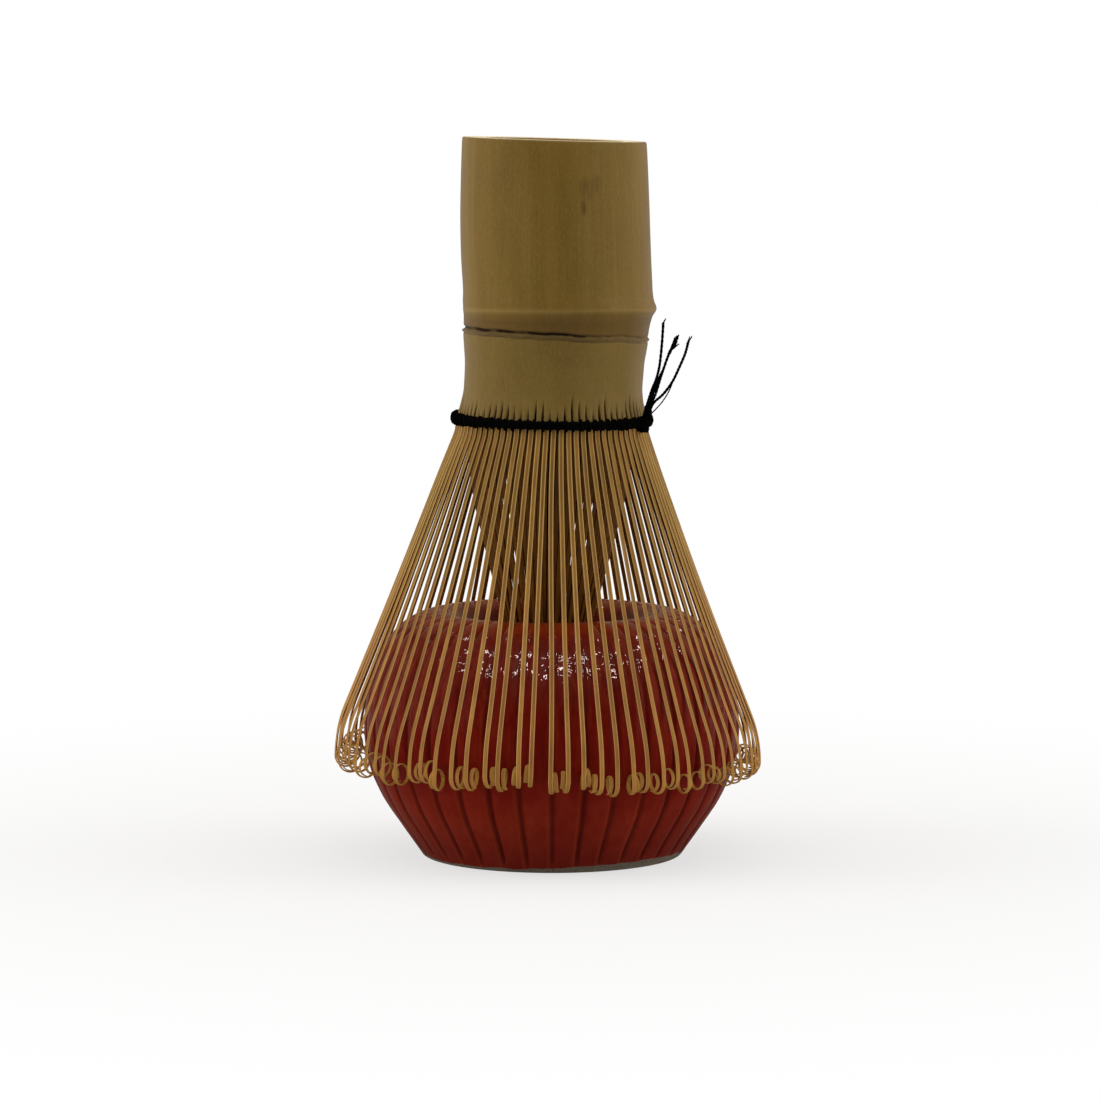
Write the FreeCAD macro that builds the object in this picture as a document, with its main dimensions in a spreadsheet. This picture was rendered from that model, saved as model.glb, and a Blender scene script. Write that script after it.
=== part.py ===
"""A bamboo tea whisk resting on its fluted ceramic holder, in millimetres.

The whisk stands handle up. Its outer tines are splayed over the holder and curl inward at the
tips; its inner tines lean together and hang inside the holder's well. One bamboo culm makes the
handle and every tine: it is first split into sixteen, then each split is cut into five outer and
five inner tines. A single thread weaves round the tine roots, and its knot and tails stand at the
front right. The frame's origin is the centre of the holder's foot, with +Z up and the front at -Y.
"""

import FreeCAD, Part
import math
import os
import re

import Sketcher

# Driving dimensions: alias, value in millimetres or degrees (or a count), meaning.
DIMENSIONS = [
    # ceramic holder
    ("foot_radius", 20.6, "holder, outer radius of the foot"),
    ("foot_bevel", 0.4, "holder, bevel round the foot"),
    ("foot_ring_width", 3.2, "holder, width of the ring it stands on"),
    ("foot_recess", 1.2, "holder, height of the hollow under the floor"),
    ("flank_radius", 25.6, "holder, radius where the straight flank ends"),
    ("flank_height", 7.57, "holder, height where the straight flank ends"),
    ("flank_arc", 23.4, "holder, profile arc from flank to belly"),
    ("belly_radius", 29.5, "holder, largest radius"),
    ("belly_height", 20.5, "holder, height of the largest radius"),
    ("belly_arc", 24.86, "holder, profile arc from belly to shoulder"),
    ("shoulder_radius", 25.45, "holder, radius where the shoulder turns over"),
    ("shoulder_height", 34.1, "holder, height where the shoulder turns over"),
    ("crest_arc", 9.5, "holder, profile arc from shoulder to crest"),
    ("crest_radius", 17.5, "holder, radius of the crest round the mouth"),
    ("holder_height", 38.4, "holder, height of the crest"),
    ("lip_arc", 4.0, "holder, rounding from crest into the well"),
    ("neck_depth", 3.4, "holder, straight neck below the lip"),
    ("well_radius", 24.9, "holder, largest radius of the well"),
    ("well_height", 20.0, "holder, height of the well's largest radius"),
    ("well_shoulder_arc", 13.5, "holder, profile arc above the well's widest place"),
    ("well_floor_radius", 16.5, "holder, radius of the well's floor"),
    ("well_floor_height", 4.2, "holder, height of the well's floor"),
    ("well_flank_arc", 26.0, "holder, profile arc below the well's widest place"),
    ("flute_count", 36, "holder, number of flutes"),
    ("flute_tool_radius", 0.5, "holder, radius of the flute's round bottom"),
    ("flute_run_out", 1.5, "holder, how far a flute runs past the foot"),
    # bamboo culm handle
    ("handle_end_height", 112.15, "handle, height of the sawn end on the axis"),
    ("handle_end_slope", 1.7, "handle, slope of the sawn end, falling towards +X"),
    ("handle_blank_height", 114.0, "handle, height of the culm before it is sawn"),
    ("handle_end_radius", 14.4, "handle, radius at the sawn end"),
    ("barrel_radius", 14.9, "handle, radius at the foot of the barrel"),
    ("barrel_height", 90.0, "handle, height of the foot of the barrel"),
    ("barrel_arc", 320.0, "handle, swell of the barrel"),
    ("ridge_top_radius", 15.08, "handle, radius above the node ridge"),
    ("ridge_top_height", 87.0, "handle, height above the node ridge"),
    ("ridge_base_radius", 15.02, "handle, radius below the node ridge"),
    ("ridge_base_height", 84.7, "handle, height below the node ridge"),
    ("ridge_arc", 2.6, "handle, rounding of the node ridge"),
    ("valley_radius", 14.58, "handle, radius of the band under the ridge"),
    ("valley_height", 82.7, "handle, height of the band under the ridge"),
    ("scar_radius", 14.76, "handle, radius of the sheath scar's lip"),
    ("scar_top_height", 81.9, "handle, top of the sheath scar's lip"),
    ("scar_base_height", 81.2, "handle, bottom of the sheath scar's lip"),
    ("scar_arc", 0.5, "handle, rounding of the sheath scar's lip"),
    ("collar_radius", 14.3, "handle, radius just under the sheath scar"),
    ("collar_height", 80.4, "handle, height just under the sheath scar"),
    ("waist_radius", 14.0, "handle, radius of the waist"),
    ("waist_height", 74.5, "handle, height of the waist"),
    ("waist_arc", 60.0, "handle, profile arc above the waist"),
    ("skirt_arc", 19.0, "handle, profile arc where the skirt flares"),
    ("skirt_radius", 15.05, "handle, outer radius at the skirt's edge"),
    ("skirt_edge_height", 68.3, "handle, height of the skirt's edge"),
    ("skirt_thickness", 0.45, "handle, wall left at the skirt's edge"),
    ("step_height", 73.55, "handle, height of the step over the inner tines"),
    ("step_outer_radius", 13.25, "handle, outer radius of that step"),
    ("bore_radius", 10.8, "handle, radius of the hollow culm"),
    ("septum_base_height", 82.2, "handle, underside of the node's septum"),
    ("septum_thickness", 2.0, "handle, thickness of the node's septum"),
    ("slit_width", 0.4, "handle, width of a slit between tine roots"),
    ("slit_shoulder_height", 70.2, "handle, height where a slit starts to close"),
    ("slit_top_height", 72.2, "handle, height of a slit's point"),
    # tines
    ("split_count", 16, "tines, number of splits round the culm"),
    ("split_tines", 5, "tines, outer tines cut from a split, and inner ones too"),
    ("root_radius", 14.9, "outer tines, radius of the root"),
    ("root_height", 68.2, "outer tines, height of the root's end"),
    ("root_run", 0.5, "outer tines, straight run behind the thread"),
    ("tine_width", 0.75, "outer tines, width"),
    ("tine_thickness", 0.34, "outer tines, thickness"),
    ("flare_arc", 5.0, "outer tines, bend under the thread"),
    ("flare_turn", 20.2, "outer tines, angle turned under the thread"),
    ("bow_arc", 1311.0, "outer tines, slight bow of the long run"),
    ("bow_turn", 2.0, "outer tines, angle turned along the long run"),
    ("hook_arc", 20.0, "outer tines, bend above the curl"),
    ("curl_arc", 1.78, "outer tines, radius where the curl starts"),
    ("curl_step", 0.12, "outer tines, loss of radius each quarter turn"),
    ("inner_root_radius", 12.9, "inner tines, radius of the root"),
    ("inner_root_height", 73.5, "inner tines, height of the root's end"),
    ("inner_root_run", 5.9, "inner tines, straight run past the thread"),
    ("inner_width", 0.42, "inner tines, width"),
    ("inner_thickness", 0.24, "inner tines, thickness"),
    ("inner_arc", 60.0, "inner tines, bend towards the axis"),
    ("steep_lean", 14.3, "inner tines, lean of the layer that hangs steeper"),
    ("steep_reach", 27.6, "inner tines, straight run of that layer"),
    ("close_lean", 15.5, "inner tines, lean of the layer that closes in further"),
    ("close_reach", 28.6, "inner tines, straight run of that layer"),
    # thread
    ("wrap_inner_radius", 15.3, "thread, inner radius of the turn outside the tines"),
    ("wrap_edge_radius", 15.5, "thread, radius where that turn starts to round over"),
    ("wrap_arc", 1.85, "thread, rounding of that turn's outside"),
    ("wrap_base_height", 67.4, "thread, underside of that turn"),
    ("wrap_top_height", 69.2, "thread, top of that turn"),
    ("core_radius", 13.8, "thread, radius of the turn between the tines"),
    ("core_thread_radius", 0.55, "thread, half thickness of that turn"),
    ("core_height", 68.1, "thread, height of that turn and of the crossings"),
    ("crossing_thickness", 0.2, "thread, thickness of a crossing between tines"),
    ("knot_azimuth", -26.0, "knot, where it sits, from +X"),
    ("knot_stand_off", 16.95, "knot, distance of its middle from the axis"),
    ("knot_height", 67.9, "knot, height of its middle"),
    ("knot_waist", 0.62, "knot, radius between its turns"),
    ("knot_turn_arc", 0.58, "knot, rounding of one of its turns"),
    ("knot_turn", 1.07, "knot, height of one of its turns"),
    ("tail_radius", 0.22, "tails, half thickness"),
    ("tail_spacing", 0.42, "tails, distance side by side at the knot"),
    ("tail_root", 1.0, "tails, straight root inside the knot"),
    ("tail_bend", 2.0, "tails, bend outward where they leave the knot"),
    ("tail_a_lean", 28.0, "upright tail, lean where it leaves the knot"),
    ("tail_a_arc", 26.0, "upright tail, long bend back towards upright"),
    ("tail_a_turn", 21.0, "upright tail, angle turned by that bend"),
    ("tail_a_run", 4.3, "upright tail, straight end"),
    ("tail_b_lean", 30.0, "middle tail, lean where it leaves the knot"),
    ("tail_b_arc", 40.0, "middle tail, long bend back towards upright"),
    ("tail_b_turn", 11.0, "middle tail, angle turned by that bend"),
    ("tail_b_run", 3.8, "middle tail, straight end"),
    ("tail_c_lean", 56.0, "low tail, lean where it leaves the knot"),
    ("tail_c_arc", 15.0, "low tail, long bend back towards upright"),
    ("tail_c_turn", 40.0, "low tail, angle turned by that bend"),
    ("tail_c_run", 1.2, "low tail, straight end"),
]

ALIASES = "|".join(alias for alias, _, _ in DIMENSIONS)
PITCH = "360 / (split_count * split_tines)"
CURL_QUARTERS = 5
DOWN, UP = -1, 1
Z_AXIS = FreeCAD.Vector(0, 0, 1)


def make_sheet(doc):
    """Writes the driving dimensions to a spreadsheet, one alias a row."""
    sheet = doc.addObject("Spreadsheet::Sheet", "dimensions")
    for row, (alias, value, meaning) in enumerate(DIMENSIONS, start=1):
        sheet.set(f"A{row}", meaning)
        sheet.set(f"B{row}", str(value))
        sheet.setAlias(f"B{row}", alias)
    doc.recompute()


def number(doc, expression):
    """The number that an expression over the sheet's aliases stands for."""
    value = doc.getObject("dimensions").evalExpression(expression)
    return float(getattr(value, "Value", value))


def bound(expression):
    """The same expression, as the other objects of the document have to write it."""
    return re.sub(rf"\b({ALIASES})\b", r"dimensions.\1", expression)


def make_body(doc, name):
    """An empty body whose label names its file."""
    body = doc.addObject("PartDesign::Body", name)
    body.Label = name
    return body


def origin_feature(body, role):
    """One of the body's own origin planes or axes."""
    return next(f for f in body.Origin.OriginFeatures if f.Role == role)


def make_sketch(body, name, plane, offset="0", turn="0"):
    """A sketch on an origin plane, moved along the plane's normal and turned about Z."""
    sketch = body.newObject("Sketcher::SketchObject", name)
    sketch.AttachmentSupport = (origin_feature(body, plane), [""])
    sketch.MapMode = "FlatFace"
    if offset != "0":
        sketch.setExpression("AttachmentOffset.Base.z", bound(offset))
    if turn != "0":
        axis = Z_AXIS if plane == "XY_Plane" else FreeCAD.Vector(0, 1, 0)
        sketch.AttachmentOffset = FreeCAD.Placement(
            sketch.AttachmentOffset.Base, FreeCAD.Rotation(axis, 1.0)
        )
        sketch.setExpression("AttachmentOffset.Rotation.Angle", bound(f"({turn}) * 1 deg"))
    return sketch


def drive(sketch, constraint, expression):
    """Adds a dimension to the sketch and binds it to the sheet."""
    index = sketch.addConstraint(constraint)
    sketch.setExpression(f"Constraints[{index}]", bound(expression))


def pin(sketch, edge, point, across, up):
    """Dimensions one point from the sketch's origin, or puts it on an axis where it is zero."""
    for kind, expression, axis in (("DistanceX", across, -2), ("DistanceY", up, -1)):
        value = number(sketch.Document, expression)
        if value == 0:
            sketch.addConstraint(Sketcher.Constraint("PointOnObject", edge, point, axis))
        else:
            drive(sketch, Sketcher.Constraint(kind, edge, point, value), expression)


def arc_between(start, end, radius, side):
    """The arc, under a half turn, that bulges to one side of its chord: 1 left, -1 right.

    It also gives the numbers that Sketcher has for the arc's first and last points."""
    chord = end - start
    left = FreeCAD.Vector(-chord.y, chord.x, 0) / chord.Length
    depth = math.sqrt(radius**2 - (chord.Length / 2) ** 2)
    centre = (start + end) / 2 - left * (side * depth)
    begin = math.atan2(start.y - centre.y, start.x - centre.x)
    finish = math.atan2(end.y - centre.y, end.x - centre.x)
    low, high = (finish, begin) if side > 0 else (begin, finish)
    if high < low:
        high += 2 * math.pi
    arc = Part.ArcOfCircle(Part.Circle(centre, Z_AXIS, radius), low, high)
    return (arc, 2, 1) if side > 0 else (arc, 1, 2)


def draw_outline(sketch, corners, closed=True):
    """Draws lines and arcs from corner to corner, each corner dimensioned from the origin.

    A corner is (across, up) for a line to the next one, or (across, up, radius, side) for an
    arc. All but the side are expressions."""
    doc = sketch.Document
    places = [FreeCAD.Vector(number(doc, c[0]), number(doc, c[1]), 0) for c in corners]
    edges = []
    for i in range(len(corners) if closed else len(corners) - 1):
        start, end = places[i], places[(i + 1) % len(places)]
        if len(corners[i]) == 2:
            geometry, first, last = Part.LineSegment(start, end), 1, 2
        else:
            radius, side = corners[i][2:]
            geometry, first, last = arc_between(start, end, number(doc, radius), side)
        edges.append((sketch.addGeometry(geometry, False), first, last))
    for i in range(len(edges) if closed else len(edges) - 1):
        edge, _, last = edges[i]
        following, first, _ = edges[(i + 1) % len(edges)]
        sketch.addConstraint(Sketcher.Constraint("Coincident", edge, last, following, first))
    for (edge, first, _), corner in zip(edges, corners):
        pin(sketch, edge, first, corner[0], corner[1])
        if len(corner) > 2:
            radius = Sketcher.Constraint("Radius", edge, number(doc, corner[2]))
            drive(sketch, radius, corner[2])
    if not closed:
        edge, _, last = edges[-1]
        pin(sketch, edge, last, corners[-1][0], corners[-1][1])


def draw_path(sketch, across, up, way, run, bends, end_run=None):
    """Draws a tangent path: a vertical run, then arcs, then perhaps a straight end.

    Each bend is (radius, turn in degrees), with the turn positive anticlockwise. All but the
    way, up or down, are expressions."""
    doc = sketch.Document
    start = FreeCAD.Vector(number(doc, across), number(doc, up), 0)
    place = start + FreeCAD.Vector(0, way * number(doc, run), 0)
    edge, last = sketch.addGeometry(Part.LineSegment(start, place), False), 2
    sketch.addConstraint(Sketcher.Constraint("Vertical", edge))
    pin(sketch, edge, 1, across, up)
    drive(sketch, Sketcher.Constraint("Distance", edge, number(doc, run)), run)
    heading = way * math.pi / 2
    for radius_expression, turn_expression in bends:
        radius = number(doc, radius_expression)
        turn = math.radians(number(doc, turn_expression))
        toward_centre = heading + math.copysign(math.pi / 2, turn)
        centre = place + FreeCAD.Vector(math.cos(toward_centre), math.sin(toward_centre)) * radius
        begin = toward_centre + math.pi
        finish = begin + turn
        circle = Part.Circle(centre, Z_AXIS, radius)
        arc = Part.ArcOfCircle(circle, min(begin, finish), max(begin, finish))
        bend = sketch.addGeometry(arc, False)
        first = 1 if turn > 0 else 2
        sketch.addConstraint(Sketcher.Constraint("Tangent", edge, last, bend, first))
        drive(sketch, Sketcher.Constraint("Radius", bend, radius), radius_expression)
        span = Sketcher.Constraint("Angle", bend, abs(turn))
        drive(sketch, span, f"abs({turn_expression}) * 1 deg")
        edge, last = bend, 3 - first
        place = centre + FreeCAD.Vector(math.cos(finish), math.sin(finish)) * radius
        heading += turn
    if end_run:
        length = number(doc, end_run)
        end = place + FreeCAD.Vector(math.cos(heading), math.sin(heading)) * length
        line = sketch.addGeometry(Part.LineSegment(place, end), False)
        sketch.addConstraint(Sketcher.Constraint("Tangent", edge, last, line, 1))
        drive(sketch, Sketcher.Constraint("Distance", line, length), end_run)


def draw_rectangle(sketch, middle, across, up):
    """A rectangle centred on the sketch's X axis."""
    left, right, half = f"{middle} - {across} / 2", f"{middle} + {across} / 2", f"{up} / 2"
    draw_outline(sketch, [(left, f"-{half}"), (right, f"-{half}"), (right, half), (left, half)])


def draw_circle(sketch, across, up, radius):
    """A circle dimensioned from the sketch's origin."""
    doc = sketch.Document
    centre = FreeCAD.Vector(number(doc, across), number(doc, up), 0)
    circle = sketch.addGeometry(Part.Circle(centre, Z_AXIS, number(doc, radius)), False)
    drive(sketch, Sketcher.Constraint("Radius", circle, number(doc, radius)), radius)
    pin(sketch, circle, 3, across, up)


def add_feature(body, kind, name, profile):
    """Adds a PartDesign feature made from a sketch."""
    feature = body.newObject(f"PartDesign::{kind}", name)
    feature.Profile = profile
    return feature


def revolve(body, name, profile):
    """Turns a profile once round its sketch's vertical axis."""
    feature = add_feature(body, "Revolution", name, profile)
    feature.ReferenceAxis = (profile, ["V_Axis"])
    feature.Angle = 360.0
    body.Document.recompute()


def sweep(body, kind, name, section, path):
    """Sweeps a section along a path, added to the body or subtracted from it."""
    feature = add_feature(body, f"{kind}Pipe", name, section)
    feature.Spine = (path, [])
    body.Document.recompute()
    return feature


def repeat_round_axis(body, name, original, count, angle="360"):
    """Repeats a feature about the body's Z axis and makes the pattern the body's tip."""
    pattern = body.newObject("PartDesign::PolarPattern", name)
    pattern.Originals = [original]
    pattern.Axis = (origin_feature(body, "Z_Axis"), [""])
    pattern.setExpression("Occurrences", bound(count))
    pattern.setExpression("Angle", bound(angle))
    body.Tip = pattern
    body.Document.recompute()


def turn_body(body, angle):
    """Turns a whole body about Z by an expression in degrees."""
    body.Placement = FreeCAD.Placement(FreeCAD.Vector(), FreeCAD.Rotation(Z_AXIS, 1.0))
    body.setExpression("Placement.Rotation.Angle", bound(f"({angle}) * 1 deg"))
    body.Document.recompute()


def check_cut(body, before, what):
    """Stops if a cut took nothing off the body, and gives the volume that is left."""
    after = body.Shape.Volume
    if not 0 < after < before - 0.01:
        raise RuntimeError(f"{body.Label}: {what} took nothing off")
    return after


def make_holder(doc):
    """The slip-cast ceramic holder: hollow, round-shouldered, standing on a foot ring."""
    body = make_body(doc, "holder_body")
    flank = [
        ("flank_radius", "flank_height", "flank_arc", -1),
        ("belly_radius", "belly_height", "belly_arc", -1),
        ("shoulder_radius", "shoulder_height", "crest_arc", -1),
        ("crest_radius", "holder_height", "lip_arc", -1),
    ]
    neck_top = ("crest_radius - lip_arc", "holder_height - lip_arc")
    well = [
        neck_top,
        (neck_top[0], f"{neck_top[1]} - neck_depth", "well_shoulder_arc", 1),
        ("well_radius", "well_height", "well_flank_arc", 1),
        ("well_floor_radius", "well_floor_height"),
        ("0", "well_floor_height"),
    ]
    ring_radius = "foot_radius - foot_ring_width"
    underside = [
        ("0", "foot_recess"),
        (f"{ring_radius} - foot_recess", "foot_recess"),
        (ring_radius, "0"),
        ("foot_radius - foot_bevel", "0"),
    ]
    profile = make_sketch(body, "holder_profile", "XZ_Plane")
    draw_outline(profile, [("foot_radius", "foot_bevel")] + flank + well + underside)
    revolve(body, "holder_shell", profile)
    before = body.Shape.Volume

    # A flute follows the outside from below the foot, over the crest and into the neck.
    slope = "(flank_radius - foot_radius) / (flank_height - foot_bevel)"
    foot = (f"foot_radius - flute_run_out * {slope}", "foot_bevel - flute_run_out")
    path = make_sketch(body, "flute_path", "XZ_Plane")
    draw_outline(path, [foot] + flank + [neck_top], closed=False)
    section = make_sketch(body, "flute_section", "XY_Plane", offset=foot[1])
    draw_circle(section, foot[0], "0", "flute_tool_radius")
    flute = sweep(body, "Subtractive", "flute", section, path)
    repeat_round_axis(body, "flutes", flute, "flute_count")
    check_cut(body, before, "the flutes")
    return body


def make_handle(doc):
    """The culm: a hollow handle with its node, and a thin skirt slit between the tine roots."""
    body = make_body(doc, "culm_handle")
    barrel = [
        ("barrel_radius", "barrel_height", "barrel_arc", -1),
        ("handle_end_radius", "handle_blank_height"),
    ]
    hollow = [
        ("bore_radius", "handle_blank_height"),
        ("bore_radius", "septum_base_height + septum_thickness"),
        ("0", "septum_base_height + septum_thickness"),
        ("0", "septum_base_height"),
        ("bore_radius", "septum_base_height"),
        ("bore_radius", "step_height"),
        ("step_outer_radius", "step_height"),
        ("skirt_radius - skirt_thickness", "skirt_edge_height"),
    ]
    node = [
        ("skirt_radius", "skirt_edge_height", "skirt_arc", 1),
        ("waist_radius", "waist_height", "waist_arc", 1),
        ("collar_radius", "collar_height"),
        ("scar_radius", "scar_base_height", "scar_arc", -1),
        ("scar_radius", "scar_top_height"),
        ("valley_radius", "valley_height"),
        ("ridge_base_radius", "ridge_base_height", "ridge_arc", -1),
        ("ridge_top_radius", "ridge_top_height"),
    ]
    profile = make_sketch(body, "culm_profile", "XZ_Plane")
    draw_outline(profile, barrel + hollow + node)
    revolve(body, "culm", profile)
    before = body.Shape.Volume

    # The saw cut at the handle's end is slightly out of square.
    reach = "2 * handle_end_radius"
    fall = f"{reach} * tan(handle_end_slope * 1 deg)"
    saw = make_sketch(body, "end_cut_profile", "XZ_Plane", offset=f"-{reach}")
    corners = [
        (f"-{reach}", f"handle_end_height + {fall}"),
        (reach, f"handle_end_height - {fall}"),
        (reach, "handle_blank_height + handle_end_radius"),
        (f"-{reach}", "handle_blank_height + handle_end_radius"),
    ]
    draw_outline(saw, corners)
    cut_through(body, "end_cut", saw)
    after_saw = check_cut(body, before, "the saw cut")

    # One pointed slit through the skirt, outward from behind it, repeated all round. The body is
    # then turned half a pitch, so that the tines' roots lie between the slits.
    slit = make_sketch(body, "slit_profile", "YZ_Plane", offset="step_outer_radius - 1")
    half, below = "slit_width / 2", "skirt_edge_height - slit_width"
    corners = [
        (f"-{half}", below),
        (half, below),
        (half, "slit_shoulder_height"),
        ("0", "slit_top_height"),
        (f"-{half}", "slit_shoulder_height"),
    ]
    draw_outline(slit, corners)
    pocket = cut_through(body, "slit", slit)
    repeat_round_axis(body, "slits", pocket, "split_count * split_tines")
    check_cut(body, after_saw, "the slits")
    turn_body(body, f"{PITCH} / 2")
    return body


def cut_through(body, name, sketch):
    """Cuts a profile through everything on the side that its sketch faces."""
    pocket = add_feature(body, "Pocket", name, sketch)
    pocket.Type = "ThroughAll"
    pocket.Reversed = True
    body.Document.recompute()
    return pocket


def make_outer_tines(doc, split):
    """The five outer tines of one split: flared, slightly bowed, and curled in at the tip."""
    body = make_body(doc, f"outer_tines_{split + 1:02d}")
    bends = [
        ("flare_arc", "flare_turn"),
        ("bow_arc", "bow_turn"),
        ("hook_arc", "-(flare_turn + bow_turn)"),
    ]
    for quarter in range(CURL_QUARTERS):
        bends.append((f"curl_arc - {quarter} * curl_step", "-90"))
    path = make_sketch(body, f"outer_path_{split + 1:02d}", "XZ_Plane")
    draw_path(path, "root_radius", "root_height", DOWN, "root_run", bends)
    section = make_sketch(body, f"outer_section_{split + 1:02d}", "XY_Plane", "root_height")
    draw_rectangle(section, "root_radius", "tine_thickness", "tine_width")
    tine = sweep(body, "Additive", f"outer_tine_{split + 1:02d}", section, path)
    fan = f"(split_tines - 1) * {PITCH}"
    repeat_round_axis(body, f"outer_fan_{split + 1:02d}", tine, "split_tines", fan)
    turn_body(body, f"{split} * 360 / split_count - {fan} / 2")
    return body


def make_inner_tines(doc, split):
    """The inner tines of one split, leaning to the axis, turn about in one of two layers."""
    body = make_body(doc, f"inner_tines_{split + 1:02d}")
    layers = [("steep_lean", "steep_reach"), ("close_lean", "close_reach")]
    for layer in range(2):
        # An odd number of tines in a split swaps the layers from each split to the next.
        lean, reach = layers[(split + layer) % 2]
        name = f"{split + 1:02d}_{layer + 1}"
        turn = f"{layer} * {PITCH}"
        path = make_sketch(body, f"inner_path_{name}", "XZ_Plane", turn=turn)
        start = ("inner_root_radius", "inner_root_height")
        draw_path(path, *start, DOWN, "inner_root_run", [("inner_arc", f"-{lean}")], reach)
        section = make_sketch(
            body, f"inner_section_{name}", "XY_Plane", "inner_root_height", turn
        )
        draw_rectangle(section, "inner_root_radius", "inner_thickness", "inner_width")
        tine = sweep(body, "Additive", f"inner_tine_{name}", section, path)
        count = f"(split_tines + 1) / 2 - {layer}"
        fan = f"2 * ({count} - 1) * {PITCH}"
        repeat_round_axis(body, f"inner_fan_{name}", tine, count, fan)
    turn_body(body, f"{split} * 360 / split_count - (split_tines - 1) * {PITCH} / 2")
    return body


def make_binding_thread(doc):
    """The thread: a turn outside the tines, one behind them, and crossings in between."""
    body = make_body(doc, "binding_thread")
    wrap = make_sketch(body, "wrap_profile", "XZ_Plane")
    corners = [
        ("wrap_inner_radius", "wrap_base_height"),
        ("wrap_edge_radius", "wrap_base_height", "wrap_arc", -1),
        ("wrap_edge_radius", "wrap_top_height"),
        ("wrap_inner_radius", "wrap_top_height"),
    ]
    draw_outline(wrap, corners)
    revolve(body, "wrap", wrap)
    core = make_sketch(body, "core_profile", "XZ_Plane")
    draw_circle(core, "core_radius", "core_height", "core_thread_radius")
    revolve(body, "core", core)
    section = make_sketch(body, "crossing_profile", "YZ_Plane", offset="core_radius")
    half = "crossing_thickness / 2"
    low, high = f"core_height - {half}", f"core_height + {half}"
    draw_outline(section, [(f"-{half}", low), (half, low), (half, high), (f"-{half}", high)])
    crossing = add_feature(body, "Pad", "crossing", section)
    crossing.setExpression("Length", bound("wrap_edge_radius - core_radius"))
    # The crossings pass between the tines, half a pitch from their middles.
    repeat_round_axis(body, "crossings", crossing, "split_count * split_tines")
    turn_body(body, f"{PITCH} / 2")
    return body


def make_thread_knot(doc):
    """The knot where the thread is tied off, with its three cut tails."""
    body = make_body(doc, "thread_knot")
    profile = make_sketch(body, "knot_profile", "XZ_Plane")
    profile.setExpression("AttachmentOffset.Base.x", bound("knot_stand_off"))
    heights = [f"knot_height + {step} * knot_turn" for step in (-1.5, -0.5, 0.5, 1.5)]
    turns = [("knot_waist", height, "knot_turn_arc", -1) for height in heights[:-1]]
    corners = [("0", heights[0])] + turns + [("knot_waist", heights[-1]), ("0", heights[-1])]
    draw_outline(profile, corners)
    revolve(body, "knot", profile)
    for side, tail in enumerate(("tail_a", "tail_b", "tail_c"), start=-1):
        path = make_sketch(body, f"{tail}_path", "XZ_Plane", offset=f"{side} * tail_spacing")
        root = ("knot_stand_off", "knot_height + knot_turn")
        bends = [("tail_bend", f"-{tail}_lean"), (f"{tail}_arc", f"{tail}_turn")]
        draw_path(path, *root, UP, "tail_root", bends, f"{tail}_run")
        section = make_sketch(body, f"{tail}_section", "XY_Plane", offset=root[1])
        draw_circle(section, root[0], f"{-side} * tail_spacing", "tail_radius")
        sweep(body, "Additive", tail, section, path)
    turn_body(body, "knot_azimuth")
    return body


def check_document(doc, bodies):
    """Stops if any object failed to recompute, or a body has no sound shape."""
    for item in doc.Objects:
        if "Invalid" in item.State or "Error" in item.State:
            raise RuntimeError(f"{item.Name} did not recompute")
    for body in bodies:
        if body.Shape.isNull() or not body.Shape.isValid():
            raise RuntimeError(f"{body.Label} has no sound shape")


def main():
    doc = FreeCAD.newDocument("tea_whisk")
    make_sheet(doc)
    bodies = [make_holder(doc), make_handle(doc), make_binding_thread(doc), make_thread_knot(doc)]
    for split in range(int(number(doc, "split_count"))):
        bodies.append(make_outer_tines(doc, split))
        bodies.append(make_inner_tines(doc, split))
    doc.recompute()
    check_document(doc, bodies)
    os.makedirs("parts", exist_ok=True)
    for body in bodies:
        body.Shape.exportStep(f"parts/{body.Label}.step")
        print(body.Label, len(body.Shape.Solids), round(body.Shape.Volume, 2))


main()
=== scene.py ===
"""The looks of a bamboo tea whisk on its ceramic holder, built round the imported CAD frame."""

import math

import bmesh
import bpy
import numpy as np
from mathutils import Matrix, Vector, noise


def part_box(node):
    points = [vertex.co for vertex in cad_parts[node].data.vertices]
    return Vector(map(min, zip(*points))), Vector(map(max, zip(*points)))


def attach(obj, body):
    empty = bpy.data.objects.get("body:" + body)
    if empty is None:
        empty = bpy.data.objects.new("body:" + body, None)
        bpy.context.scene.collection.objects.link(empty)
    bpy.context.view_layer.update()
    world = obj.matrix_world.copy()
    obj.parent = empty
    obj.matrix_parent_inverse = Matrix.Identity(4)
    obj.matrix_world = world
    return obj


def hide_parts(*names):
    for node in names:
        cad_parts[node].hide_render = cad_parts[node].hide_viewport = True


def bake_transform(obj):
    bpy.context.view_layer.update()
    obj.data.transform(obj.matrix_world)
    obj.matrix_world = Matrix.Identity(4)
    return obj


MM = 0.001
TAU = 2 * math.pi
SPLITS = 16
SPLIT_TINES = 5
TINES = SPLITS * SPLIT_TINES
PITCH = TAU / TINES
# The tines stand a quarter pitch round, so the rear ones show between those in front.
TURN = PITCH / 4
rng = np.random.default_rng(11)

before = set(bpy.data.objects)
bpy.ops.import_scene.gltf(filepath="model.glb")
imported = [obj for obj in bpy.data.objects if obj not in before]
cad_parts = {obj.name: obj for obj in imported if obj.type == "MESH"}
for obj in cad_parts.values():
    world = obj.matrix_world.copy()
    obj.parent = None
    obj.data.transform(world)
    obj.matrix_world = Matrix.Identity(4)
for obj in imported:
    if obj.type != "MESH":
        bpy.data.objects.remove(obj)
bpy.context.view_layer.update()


# ---- shapes in numpy, in mm

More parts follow.
